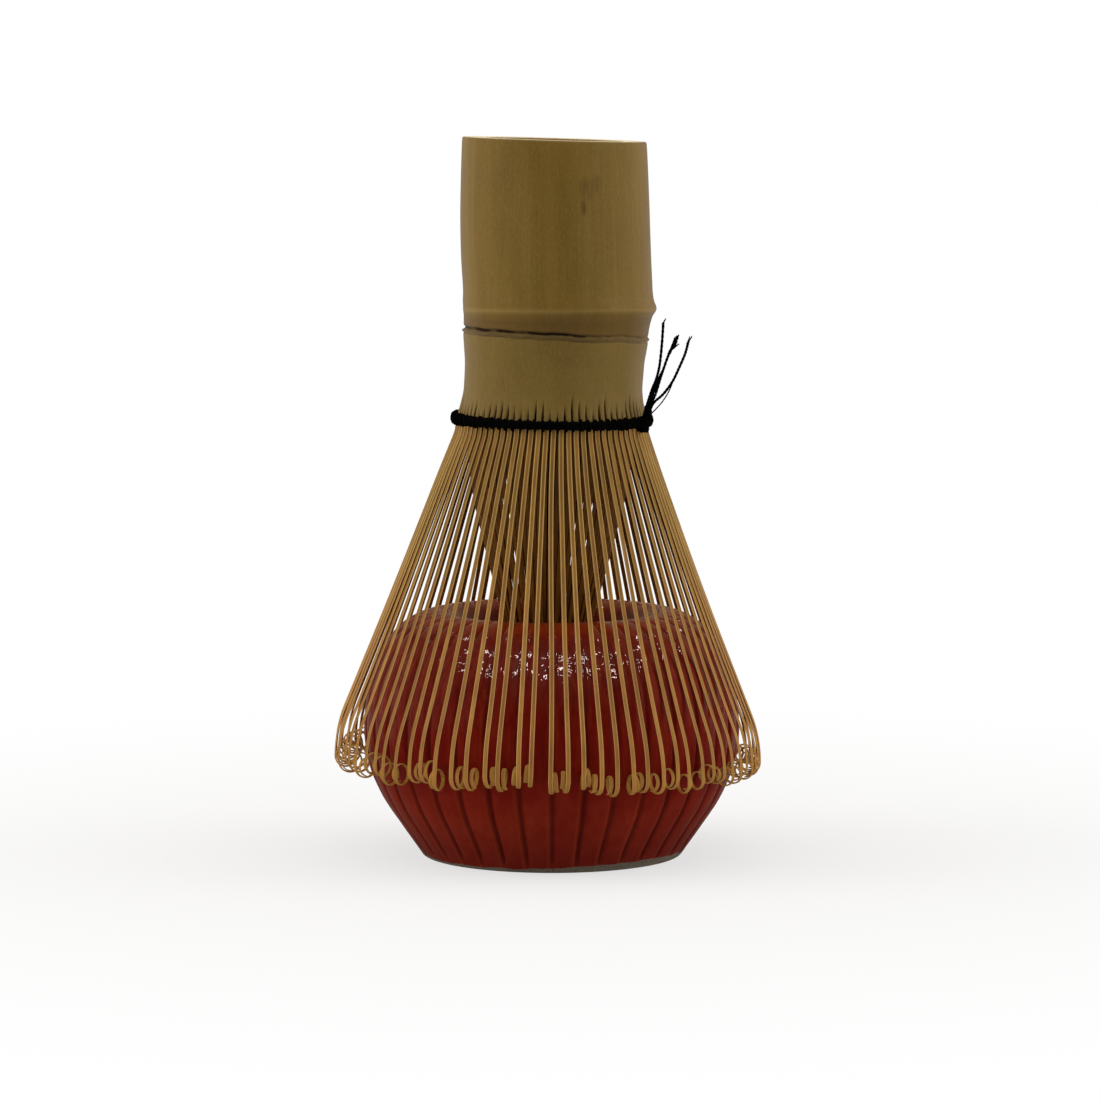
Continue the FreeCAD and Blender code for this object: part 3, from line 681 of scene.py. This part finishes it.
def make_culm():
    """The handle: one length of culm with its node, end grain, bore and slit skirt."""
    low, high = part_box("culm_handle")
    edge, end = low.z / MM, high.z / MM - 0.43
    rows = culm_section(edge, end)
    # Rows are one above another, (n, 1), and columns stand side by side, (n,).
    radius, height, side = (np.array(column)[:, None] for column in zip(*rows))
    outside = side == OUTSIDE

    columns = np.array([-1, -0.78, -0.3, 0.3, 0.78, 1])
    width = len(columns)
    strip = np.repeat(np.arange(TINES), width)
    u = np.tile(columns, TINES)
    slit_top = 71.3 + 0.9 * rng.uniform(-1, 1, TINES)
    # The cuts between the sixteen splits run a little further up than the rest.
    slit_top[SPLIT_TINES // 2 :: SPLIT_TINES] += 0.9
    slit_wide = rng.uniform(0.26, 0.38, TINES)
    slit = np.where(u > 0, strip, strip - 1) % TINES
    below_top = np.clip((slit_top[slit] - height) / 2.4, 0, 1)
    half_slit = np.where(np.abs(side) == 1, slit_wide[slit] / 2 * below_top**0.75, 0)
    angle = TURN + strip * PITCH + u * (PITCH / 2 - half_slit / np.maximum(radius, 1))
    around = TURN + strip * PITCH + u * PITCH / 2
    right, front = np.cos(around), -np.sin(around)

    # The scar winds up and down, the ridge rises at the front, and the saw ran at a slant.
    scar_shift = -0.78 * right + 0.24 * ring_noise(around, 9, 1.0)
    scar_shift += 0.2 * ring_noise(around, 36, 2.0)
    scar_shift += 0.3 + 0.25 * front
    near_scar = smooth(76.5, 80.6, height) * (1 - smooth(82.5, 85.0, height))
    near_ridge = smooth(84.0, 85.6, height) * (1 - smooth(87.5, 92, height))
    ridge_shift = 0.45 * np.clip(front, 0, 1) + 0.15 * ring_noise(around, 6, 7.0)
    z = height + near_scar * outside * scar_shift
    z = z + near_ridge * outside * ridge_shift
    z = z - math.tan(TOP_TILT) * radius * np.cos(angle) * smooth(92, 111.5, height)

    # The old sheath left a raised lip, a shallow groove under it with a painted shadow line, and a
    # crack above it.
    from_scar = height - SCAR_HEIGHT
    lip = bell(from_scar, -0.3, 0.24) * outside
    under = bell(from_scar, -0.68, 0.11) * outside
    crack = bell(from_scar, 0.16, 0.25) * outside
    ridge = bell(height, RIDGE_HEIGHT, 1.0) * outside
    # The crack closes towards the right.
    worn_away = 1 - 0.6 * smooth(0.15, 0.7, right)
    r = radius + lip * (0.2 + 0.1 * ring_noise(around, 14, 4.0)) - 0.1 * under
    r = r - crack * ((0.26 + 0.12 * ring_noise(around, 20, 5.0)) * worn_away)
    r = r + ridge * (0.28 * right + 0.12 * ring_noise(around, 5, 6.0))
    # The strips between the slits have worn edges and stand out unevenly.
    rounding = np.interp(np.abs(u), [0.3, 0.78, 1.0], [0, 0.06, 0.24])
    worn = np.clip((slit_top[slit] + 0.8 - height) / 2.2, 0, 1)
    r = r - rounding * worn * outside
    r = r + 0.05 * rng.uniform(-1, 1, TINES)[strip] * smooth(72, 69, height) * outside
    # A culm is never quite round, nor quite straight.
    r = r + 0.06 * ring_noise(around, 4, 8.0) * outside
    shift_at = [(edge, -0.03), (70, 0.0), (73.5, 0.2), (77, 0.42), (80.9, 0.58), (82.4, 0.66),
                (85.8, 1.0), (88.2, 0.95), (94, 0.66), (100, 0.5), (end, 0.4)]
    points = polar(r, angle, z)
    points[..., 0] += through(shift_at, height) * (side > 0)

    faces = []
    total = TINES * width
    for k in range(TINES):
        for i in range(len(rows) - 1):
            for a in range(i * total + k * width, i * total + (k + 1) * width - 1):
                faces.append([a, a + 1, a + 1 + total, a + total])
    faces += slit_walls(height.ravel(), side.ravel(), slit_top, width)
    # Painted shade on the skin beside each slit, where it opens.
    cut = (half_slit > 0) * (np.abs(u) > 0.9) * smooth(0.05, 0.5, half_slit * 2)
    band = smooth(0.1, 0.3, from_scar) * (1 - smooth(84.0, 86.0, height))
    parts = Parts()
    parts.add(points, faces, below=outside * (1 - smooth(-0.1, 0.15, from_scar)),
              # This value holds the dark crack and a painted shadow line under the lip.
              band=outside * band, scar=np.maximum(crack, 0.45 * under) * worn_away, lip=lip,
              # edge: a painted highlight along the ridge.
              edge=bell(height, RIDGE_HEIGHT - 0.15, 0.3) * outside, cut=cut)

    def kind(centre):
        distance = math.hypot(centre.x - 0.4, centre.y)
        if centre.z > end - 1.2 and BORE + 0.1 < distance < 13.95:
            return 1
        inside = BORE + 0.15 if centre.z > 74 else 13.2
        return 2 if distance < inside else 0

    materials = [bamboo_skin(), bamboo_end(), bamboo_inside()]
    culm = parts.make("culm", materials, sharp=42, weld=True, choose=kind)
    stand_in(culm, "whisk", "culm_handle")


# ---- tines

def bent_path(start, bends):
    """A path in (r, z) that starts straight down: (length, turn in degrees, steps) per stretch.

    It gives the places, the headings (0 down, positive outward) and the distances run."""
    r, z = start
    heading = 0.0
    places, headings, runs = [(r, z)], [0.0], [0.0]
    for length, turn, steps in bends:
        for _ in range(steps):
            middle = heading + math.radians(turn) / steps / 2
            r += math.sin(middle) * length / steps
            z -= math.cos(middle) * length / steps
            heading += math.radians(turn) / steps
            places.append((r, z))
            headings.append(heading)
            runs.append(runs[-1] + length / steps)
    return np.array(places), np.array(headings), np.array(runs)


# The splayed tines hang a little towards -X, less so at the right: (height, shift).
SWAY = [(13, -0.95), (21, -0.85), (58.8, -0.35), (66, -0.1), (68, 0)]
# They also hang a little lower at the right: (X, drop).
SAG = [(-40, 0), (2, 0), (20, 1.3), (34, 1.4)]
# How wide and how thick the tines are: (distance run, size).
OUTER_WIDTHS = [(0, 0.78), (4, 0.75), (30, 0.71), (52, 0.7), (70, 0.58)]
OUTER_DEPTHS = [(0, 0.36), (6, 0.36), (40, 0.34), (52, 0.25), (70, 0.17)]
INNER_WIDTHS = [(0, 0.94), (8, 0.9), (24, 0.66), (50, 0.36)]
INNER_DEPTHS = [(0, 0.24), (50, 0.2)]
# The length of a curl's usual turn.
ONE_TURN = TAU * 1.6


def add_tine(parts, azimuth, path, drift, widths, depths, tone, bevel):
    """Adds one tine: a flat strip with its skin outward and the skin's edges chamfered.

    Its widths and depths are (distance run, size) points."""
    places, headings, runs = path
    radial, aside, up = axes_at(azimuth)
    centres = places[:, :1] * radial + places[:, 1:] * up + drift[:, None] * aside
    centres[:, 0] += through(SWAY, places[:, 1]) * (1 - 0.42 * smooth(20, 32, centres[:, 0]))
    centres[:, 2] -= through(SAG, centres[:, 0]) * smooth(60, 20, places[:, 1])
    outward = np.cos(headings)[:, None] * radial + np.sin(headings)[:, None] * up
    width, thickness = through(widths, runs), through(depths, runs)
    tangent = np.gradient(centres, axis=0)
    tangent /= np.linalg.norm(tangent, axis=1, keepdims=True)
    sides = np.cross(outward, tangent)
    sides /= np.linalg.norm(sides, axis=1, keepdims=True)
    w, h = width / 2, thickness / 2
    b = bevel * np.minimum(width, 2 * thickness)
    corners = [(-w, -h + b / 2), (-w + b / 2, -h), (w - b / 2, -h), (w, -h + b / 2),
               (w, h - b), (w - b, h), (-w + b, h), (-w, h - b)]
    outline = np.array(corners).transpose(2, 0, 1)
    # How shaved (paler wood, with a painted highlight), and how far from the skin (for painted
    # shade on the back), each of those corners is.
    shaved = np.array([0, 0, 0, 0, 1, 0.1, 0.1, 1])
    inward = np.array([0.95, 1, 1, 0.95, 0.1, 0, 0, 0.1])
    runs = runs[:, None]
    # Painted shade on the backs: full near the thread, fainter further down, and gone before the
    # curl.
    back_shade_fade = (1 - 0.6 * smooth(8, 25, runs)) * (1 - smooth(38, 50, runs))
    points, faces = sweep(centres, sides, outward, outline)
    parts.add(points, faces, along=runs + 90 * tone, across=outline @ (1, 0.35), tone=tone,
              shaved=shaved, back=inward * back_shade_fade, upper=1 - smooth(14, 40, runs),
              # The last value is painted light on the curls.
              tip=smooth(50, 58, runs))


def curl_bends(first, loss, turn, step=15.0):
    """The spiral at a tine's tip, as short bends of shrinking radius."""
    bends = []
    turned = 0.0
    while turned < turn:
        radius = first - loss * turned / 90
        bends.append((radius * math.radians(step), -step, 1))
        turned += step
    return bends


def outer_path(root, azimuth):
    """One splayed tine, with the distance at which its curl begins."""
    usual_bow = 2.0
    lean = rng.normal(0, 0.09)
    run = 45.6 + rng.uniform(-0.15, 0.15)
    bow = usual_bow + rng.normal(0, 0.3)
    hook_radius = rng.uniform(17.5, 21)
    flare = 20.2 + lean - (bow - usual_bow) / 2
    hook = flare + bow
    # At the right the tines hang closest to the holder, and curl tighter.
    tighter = 0.3 * max(math.cos(azimuth), 0)
    curl = curl_bends(rng.uniform(1.68, 1.86) - tighter, rng.uniform(0.05, 0.12),
                      rng.uniform(400, 480))
    bends = [(0.5, 0, 1), (5 * math.radians(flare), flare, 6), (run, bow, 22),
             (hook_radius * math.radians(hook), -hook, 9)]
    path = bent_path(root, bends + curl)
    return path, path[2][-1 - len(curl)]


def make_outer_tines(material):
    """Eighty splayed tines, each a little different, in sixteen pieces of five."""
    low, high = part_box("outer_tines_01")
    root = (14.9, high.z / MM)
    reach = high.z / MM - low.z / MM
    # Neighbours drift together or apart, so the spacing is uneven as in a used whisk.
    push = rng.uniform(-1, 1, TINES)
    pair = 0.5 * (push - np.roll(push, 1))
    for split in range(SPLITS):
        parts = Parts()
        for member in range(SPLIT_TINES):
            index = (split * SPLIT_TINES + member - SPLIT_TINES // 2) % TINES
            azimuth = index * PITCH + TURN
            path, before_curl = outer_path(root, azimuth)
            places, _, runs = path
            t = np.clip(runs / before_curl, 0, 1)
            drift = 0.45 * pair[index] * t**2 + 0.12 * rng.uniform(-1, 1) * np.sin(TAU * t)
            # The curl winds to one side, as far as 1 mm a turn.
            way = 1 if rng.uniform() < 0.5 else -1
            turned = np.clip((runs - before_curl) / ONE_TURN, 0, 2)
            drift = drift + way * rng.uniform(0.75, 1.0) * turned
            # Trim what would hang lower than the frame's own tips.
            drop = root[1] - places[:, 1].min()
            if drop > reach:
                places[:, 1] += (drop - reach) * smooth(0, before_curl, runs)
            add_tine(parts, azimuth, path, drift, OUTER_WIDTHS, OUTER_DEPTHS, rng.uniform(), 0.3)
        attach_tines(parts, material, "outer", split)


def make_inner_tines(material):
    """Eighty finer tines in two layers that close to a bundle, in sixteen pieces of five."""
    _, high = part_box("inner_tines_01")
    root = (12.9, high.z / MM)
    for split in range(SPLITS):
        parts = Parts()
        for member in range(SPLIT_TINES):
            index = split * SPLIT_TINES + member
            azimuth = (index - SPLIT_TINES // 2) * PITCH + TURN
            close = (split + member) % 2 == 1
            lean = (15.5 if close else 14.3) + rng.normal(0, 0.12)
            reach = (28.4 if close else 27.4) + rng.uniform(-1.2, 0.1)
            bends = [(5.9, 0, 3), (60 * math.radians(lean), -lean, 9), (reach, 0, 12)]
            path = bent_path(root, bends)
            runs = path[2]
            drift = 0.1 * rng.uniform(-1, 1) * np.sin(math.pi * (runs / runs[-1]))
            add_tine(parts, azimuth, path, drift, INNER_WIDTHS, INNER_DEPTHS, rng.uniform(), 0.22)
        attach_tines(parts, material, "inner", split)


def attach_tines(parts, material, layer, split):
    """Makes a split's tines into one piece, in place of its CAD node."""
    node = f"{layer}_tines_{split + 1:02d}"
    piece = parts.make(f"shaved_{node}", [material], sharp=28)
    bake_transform(piece)
    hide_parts(node)


# ---- thread

def thread_outline(count, width, height, twists=0, points=9):
    """A two-ply thread's outline along its length: lobes that turn as it goes."""
    angle = np.linspace(0, TAU, points, endpoint=False)[None, :]
    turn = np.linspace(0, TAU * twists, count)[:, None]
    swell = 1 + 0.16 * np.cos(2 * (angle - turn))
    return np.stack([swell * np.cos(angle) * width, swell * np.sin(angle) * height], axis=-1)


def thread_ring(parts, centres, width, height, points, turn=0.0, depth=0.0, up=(0, 0, 1)):
    """Adds a closed thread, with ridges of some depth that turn as it goes."""
    spin = np.linspace(0, TAU, points, endpoint=False)
    ridges = 1 + depth * np.cos(2 * spin - np.reshape(turn, (-1, 1)))
    outline = thread_outline(len(centres), width, height, points=points) * ridges[..., None]
    parts.add(*sweep(centres, *path_axes(centres, up, closed=True), outline, closed=True))


def thread_along(parts, stops, radius, twist_per_mm=0.9, taper=False):
    """Adds a thread through stops, with its twist."""
    length = np.linalg.norm(np.diff(np.array(stops, float), axis=0), axis=1).sum()
    count = max(12, int(length * 5))
    centres, _ = along_stops(stops, count)
    outline = thread_outline(count, radius, radius, twist_per_mm * length)
    if taper:
        outline = outline * np.linspace(1, 0.45, count)[:, None, None]
    parts.add(*sweep(centres, *path_axes(centres, up=(0.31, 0.93, 0.2)), outline))


def band_height(angle):
    """The band rides a little higher at the left, and dips to the knot at the right."""
    return 68.6 - 0.2 * np.cos(angle) + 0.05 * bell(np.abs(angle - math.pi), 0, 0.3)


def add_stitch(parts, azimuth, outer):
    """Adds the stitch that leaves a slit, goes over the band's upper edge and back in below."""
    middle = float(band_height(np.array(azimuth)))
    jog = rng.uniform(-0.12, 0.12)
    top = middle + 0.66 + rng.uniform(0.0, 0.22)
    base = middle - 0.7 - rng.uniform(0.0, 0.2)
    stops = [(14.45, middle - 0.3), (14.75, top - 0.5), (15.1, top - 0.02),
             (outer - 0.28, top - 0.08), (outer - 0.02, top - 0.6), (outer, middle),
             (outer - 0.02, base + 0.5), (outer - 0.3, base + 0.02), (15.16, base + 0.1),
             (14.75, base + 0.4)]
    steps = 26
    places, t = along_stops(stops, steps)
    across = 0.34 * (t / t[-1] - 0.5) * 2 * smooth(1.5, 4, t) * smooth(8.5, 6, t) + jog
    radial, aside, up = axes_at(azimuth)
    centres = places[:, :1] * radial + across[:, None] * aside + places[:, 1:] * up
    outline = thread_outline(steps, 0.18, 0.18, 4)
    parts.add(*sweep(centres, *path_axes(centres, up=aside), outline))


def make_thread(material):
    """The woven band: three twisted strands round the tines, stitches between, and a core."""
    low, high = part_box("binding_thread")
    outer = high.x / MM
    parts = Parts()
    angle = np.linspace(0, TAU, 1200, endpoint=False)
    lays = 46
    for strand in range(3):
        phase = lays * angle + TAU * strand / 3 + 0.7 * ring_noise(angle, 12, strand + 1.0)
        radius = outer - 0.32 + 0.1 * np.cos(phase) + 0.05 * ring_noise(angle, 30, strand + 5.0)
        height = band_height(angle) + 0.38 * np.sin(phase)
        height = height + 0.1 * ring_noise(angle, 40, strand + 9.0)
        thread_ring(parts, polar(radius, angle, height), 0.2, 0.38, 8, 3 * lays * angle, 0.14)
    for k in range(TINES):
        add_stitch(parts, TURN + (k + 0.5) * PITCH, outer)
    angle = np.linspace(0, TAU, 600, endpoint=False)
    middle = (low.z + high.z) / 2 / MM - 0.25
    for strand in range(2):
        phase = 30 * angle + math.pi * strand
        centres = polar(13.82 + 0.2 * np.cos(phase), angle, middle + 0.4 * np.sin(phase))
        thread_ring(parts, centres, 0.28, 0.42, 8)
    band = parts.make("woven_thread", [material])
    stand_in(band, "whisk", "binding_thread")


# The knot's loops: (tilt, roll, rise, size), the angles in radians.
LOOPS = [(0.2, 0.3, -0.95, 0.5), (-0.35, 1.3, -0.35, 0.68), (0.45, 2.5, 0.2, 0.7),
    (-0.15, 3.8, 0.75, 0.6), (1.2, 0.7, 0.0, 0.6), (-1.15, 2.0, 0.25, 0.6)]
# The tails' stops, from the knot to the cut end: (distance from the axis, sideways, height).
LEFT_TAIL = [(15.9, -0.4, 69.3), (16.6, -0.45, 71.3), (17.5, -0.55, 73.7), (18.3, -0.7, 75.4),
    (18.85, -0.8, 77.3), (19.3, -0.9, 80.6), (19.6, -1.0, 84.1)]
MIDDLE_TAIL = [(16.0, 0.1, 69.3), (16.95, 0.0, 71.2), (17.8, 0.05, 72.9), (18.5, 0.2, 75.2),
    (19.0, 0.2, 76.6), (19.8, 0.3, 78.8), (20.5, 0.35, 80.2)]
RIGHT_TAIL = [(16.3, 0.4, 69.3), (17.2, 0.5, 71.4), (18.8, 0.7, 72.9), (20.3, 0.9, 74.9),
    (21.4, 1.0, 77.1), (22.4, 1.1, 79.4), (22.9, 1.15, 81.2)]
SLACK = [(16.4, 0.5, 69.4), (17.4, 0.7, 70.4), (18.6, 0.8, 71.7), (19.7, 0.8, 73.3),
    (20.2, 0.85, 74.4)]
BUNDLE = [(16.1, 0.3, 69.4), (16.9, 0.2, 71.9), (17.8, 0.1, 74.1), (18.6, 0.15, 75.9),
    (19.1, 0.4, 77.0)]
# The loose fibres at each cut end: (tail, fibres, reach, spread, root, radius).
FRAYS = [(MIDDLE_TAIL, 18, 2.1, 0.62, 1.6, 0.2), (LEFT_TAIL, 3, 0.7, 0.12, 0.7, 0.13),
    (RIGHT_TAIL, 4, 0.9, 0.2, 0.7, 0.13)]


def make_knot(material):
    """The knot at the front right, with its cut and fraying tails."""
    radial, aside, up = axes_at(math.radians(-26))

    def spot(reach, along, height):
        return reach * radial + along * aside + height * up

    parts = Parts()
    turn = np.linspace(0, TAU, 40, endpoint=False)
    for tilt, roll, rise, size in LOOPS:
        x, y = size * np.cos(turn), 1.15 * size * np.sin(turn)
        y, rising = y * math.cos(tilt), y * math.sin(tilt)
        out = x * math.cos(roll) - y * math.sin(roll)
        along = x * math.sin(roll) + y * math.cos(roll)
        centres = np.stack([spot(15.15 + 0.75 * rise + o, a, 68.3 + rise + r)
                            for o, a, r in zip(out, along, rising)])
        thread_ring(parts, centres, 0.3, 0.3, 9, 6 * turn, 0.12, up + 0.3 * aside)
    # The strands leave the knot twisted together.
    rise = np.linspace(0, 1, 7)
    for strand in range(5):
        phase = TAU * (strand / 5 + 0.8 * rise)
        lay = 0.5 - 0.12 * rise
        stops = [spot(15.9 + 0.75 * t + w * math.cos(p), w * math.sin(p), 67.0 + 4.0 * t)
                 for t, p, w in zip(rise, phase, lay)]
        thread_along(parts, stops, 0.26)
    for stops, *thread in ((LEFT_TAIL, 0.21), (MIDDLE_TAIL, 0.21), (RIGHT_TAIL, 0.21),
                           (SLACK, 0.1, 1.4), (BUNDLE, 0.19)):
        thread_along(parts, [spot(*stop) for stop in stops], *thread)
    lean = 0.5 * radial + 0.87 * up
    for tail, fibres, reach, spread, root, radius in FRAYS:
        tip = spot(*tail[-1])
        for _ in range(fibres):
            stray = rng.uniform(-spread, spread, 3)
            run = reach * rng.uniform(0.5, 1.0)
            start = tip - root * rng.uniform(0.3, 1.0) * lean - 0.2 * stray
            middle = tip + run * 0.5 * lean + 0.6 * stray
            stops = [start, tip + 0.3 * stray, middle, tip + run * lean + stray]
            thread_along(parts, stops, radius, 1.5, taper=True)
    knot = parts.make("knot_and_tails", [material])
    stand_in(knot, "whisk", "thread_knot")


# ---- stage

def make_floor():
    """A pale floor that fades to white. Reflections see it dark, and paler behind."""
    s = Shader("pale_floor")
    rays = s.rays()
    x, y, _ = s.split(s.place())
    grain = s.noise(s.place(), 60)
    colour = s.mix(grain, (0.88, 0.88, 0.875, 1), (0.9, 0.9, 0.895, 1))
    s.finish(Base_Color=colour, Roughness=0.75)
    far = s.ease(s.from_axis(x, y), 0.02, 0.2, 0.62, 1.0)
    strength = s.ease(rays["Is Camera Ray"], 0, 1, 0.5, 1.0)
    white = s.glow("ShaderNodeEmission", (1, 1, 1), strength)
    dark = s.glow("ShaderNodeEmission", (0.3, 0.24, 0.2), s.ease(y, -0.05, 0.12, 0.06, 1.0))
    pale = s.either(far, s.surface.outputs[0], white)
    both = s.either(rays["Is Glossy Ray"], pale, dark)
    s.feed(s.tree.nodes["Material Output"].inputs["Surface"], both)
    s.material.cycles.emission_sampling = "NONE"
    rings = np.array([0.02, 30, 60, 120, 300, 900, 3000, 9000])
    points = polar(rings[:, None], np.linspace(0, TAU, 96, endpoint=False), 0.0)
    parts = Parts()
    parts.add(points, grid_faces(*points.shape[:2]))
    parts.make("floor", [s.material], weld=True)


def make_world():
    """White to the camera, soft light from the sides, and a warm dim room in reflections."""
    world = bpy.data.worlds.new("studio")
    bpy.context.scene.world = world
    world.use_nodes = True
    world.node_tree.nodes.clear()
    w = Nodes(world.node_tree)
    rays = w.rays()
    direction = w.node("ShaderNodeTexCoord", {}).outputs["Generated"]
    east, north, above = w.split(direction)
    sideways = w.math("ABSOLUTE", east)
    south = w.times(north, -1.0)
    light = w.plus(w.ease(sideways, 0.3, 0.95, 0.16, 1.35), w.ease(above, 0.2, 0.95, 0.0, 0.6))
    light = w.times(light, w.ease(south, 0.3, 0.95, 1.0, 0.8))
    shine = w.plus(w.ease(sideways, 0.6, 1.0, 0.008, 0.2), w.ease(above, 0.5, 0.95, 0.0, 0.12))
    shine = w.plus(shine, w.ease(north, 0.0, 0.7, 0.0, 0.42))
    seen = w.glow("ShaderNodeBackground", (1, 1, 1), 1.0)
    lit = w.glow("ShaderNodeBackground", (1, 0.99, 0.97), light)
    mirrored = w.glow("ShaderNodeBackground", (1, 0.7, 0.48), shine)
    both = w.either(rays["Is Glossy Ray"], lit, mirrored)
    both = w.either(rays["Is Camera Ray"], both, seen)
    w.node("ShaderNodeOutputWorld", {"Surface": both})
    world.cycles.sampling_method = "NONE"


def lamp(name, azimuth, rise, distance, size, power, colour=(1, 1, 1)):
    """An area lamp by its direction in degrees: azimuth from the front, rise from the floor."""
    data = bpy.data.lights.new(name, "AREA")
    data.shape = "RECTANGLE"
    data.size, data.size_y = size
    data.energy = power
    data.color = colour
    turn, tilt = math.radians(azimuth), math.radians(rise)
    out = Vector((math.sin(turn) * math.cos(tilt), -math.cos(turn) * math.cos(tilt),
                  math.sin(tilt)))
    made = bpy.data.objects.new(name, data)
    made.location = Vector((0, 0, 0.03)) + distance * out
    made.rotation_euler = (-out).to_track_quat("-Z", "Y").to_euler()
    made.visible_camera = False
    bpy.context.scene.collection.objects.link(made)
    return made


def make_lamps(holder):
    """A softbox at each side, and rows of small windows that only the holder mirrors."""
    for name, azimuth, power in (("left_softbox", -86, 1.7), ("right_softbox", 90, 1.3)):
        lamp(name, azimuth, 22, 0.76, (0.4, 0.5), power).visible_glossy = False
    glazed = bpy.data.collections.new("glazed")
    glazed.objects.link(holder)
    windows = [(azimuth, rise) for rise in (58, 45) for azimuth in (-52, -30, -8, 16, 40, 64)]
    windows += [(-125, 62), (125, 62)]
    for azimuth, rise in windows:
        window = lamp("window", azimuth, rise, 0.85, (0.15, 0.026), 0.42, (1, 0.84, 0.78))
        window.visible_diffuse = False
        window.light_linking.receiver_collection = glazed


def make_camera():
    """A long lens from the front, a little above the object's middle."""
    left = -0.0003
    camera = bpy.data.objects.new("camera", bpy.data.cameras.new("camera"))
    camera.data.lens = 158.7
    camera.data.sensor_width = 36.0
    camera.data.clip_start = 0.05
    camera.location = (left, -0.757, 0.1245)
    aim = Vector((left, 0, 0.0479)) - camera.location
    camera.rotation_euler = aim.to_track_quat("-Z", "Y").to_euler()
    bpy.context.scene.collection.objects.link(camera)
    bpy.context.scene.camera = camera
    bpy.context.scene.view_settings.view_transform = "Standard"


holder = make_holder()
make_culm()
make_outer_tines(bamboo_tine("outer_tine_bamboo", srgb(188, 135, 54), srgb(150, 99, 26),
                             srgb(96, 50, 3), srgb(228, 176, 114)))
# The inner tines are a darker copy of the outer tines' bamboo: painted shade inside the bundle.
make_inner_tines(bamboo_tine("inner_tine_bamboo_shaded", srgb(150, 94, 18), srgb(120, 67, 6),
                             srgb(78, 36, 1), srgb(150, 96, 30)))
black_cotton = cotton()
make_thread(black_cotton)
make_knot(black_cotton)
make_floor()
make_world()
make_lamps(holder)
make_camera()
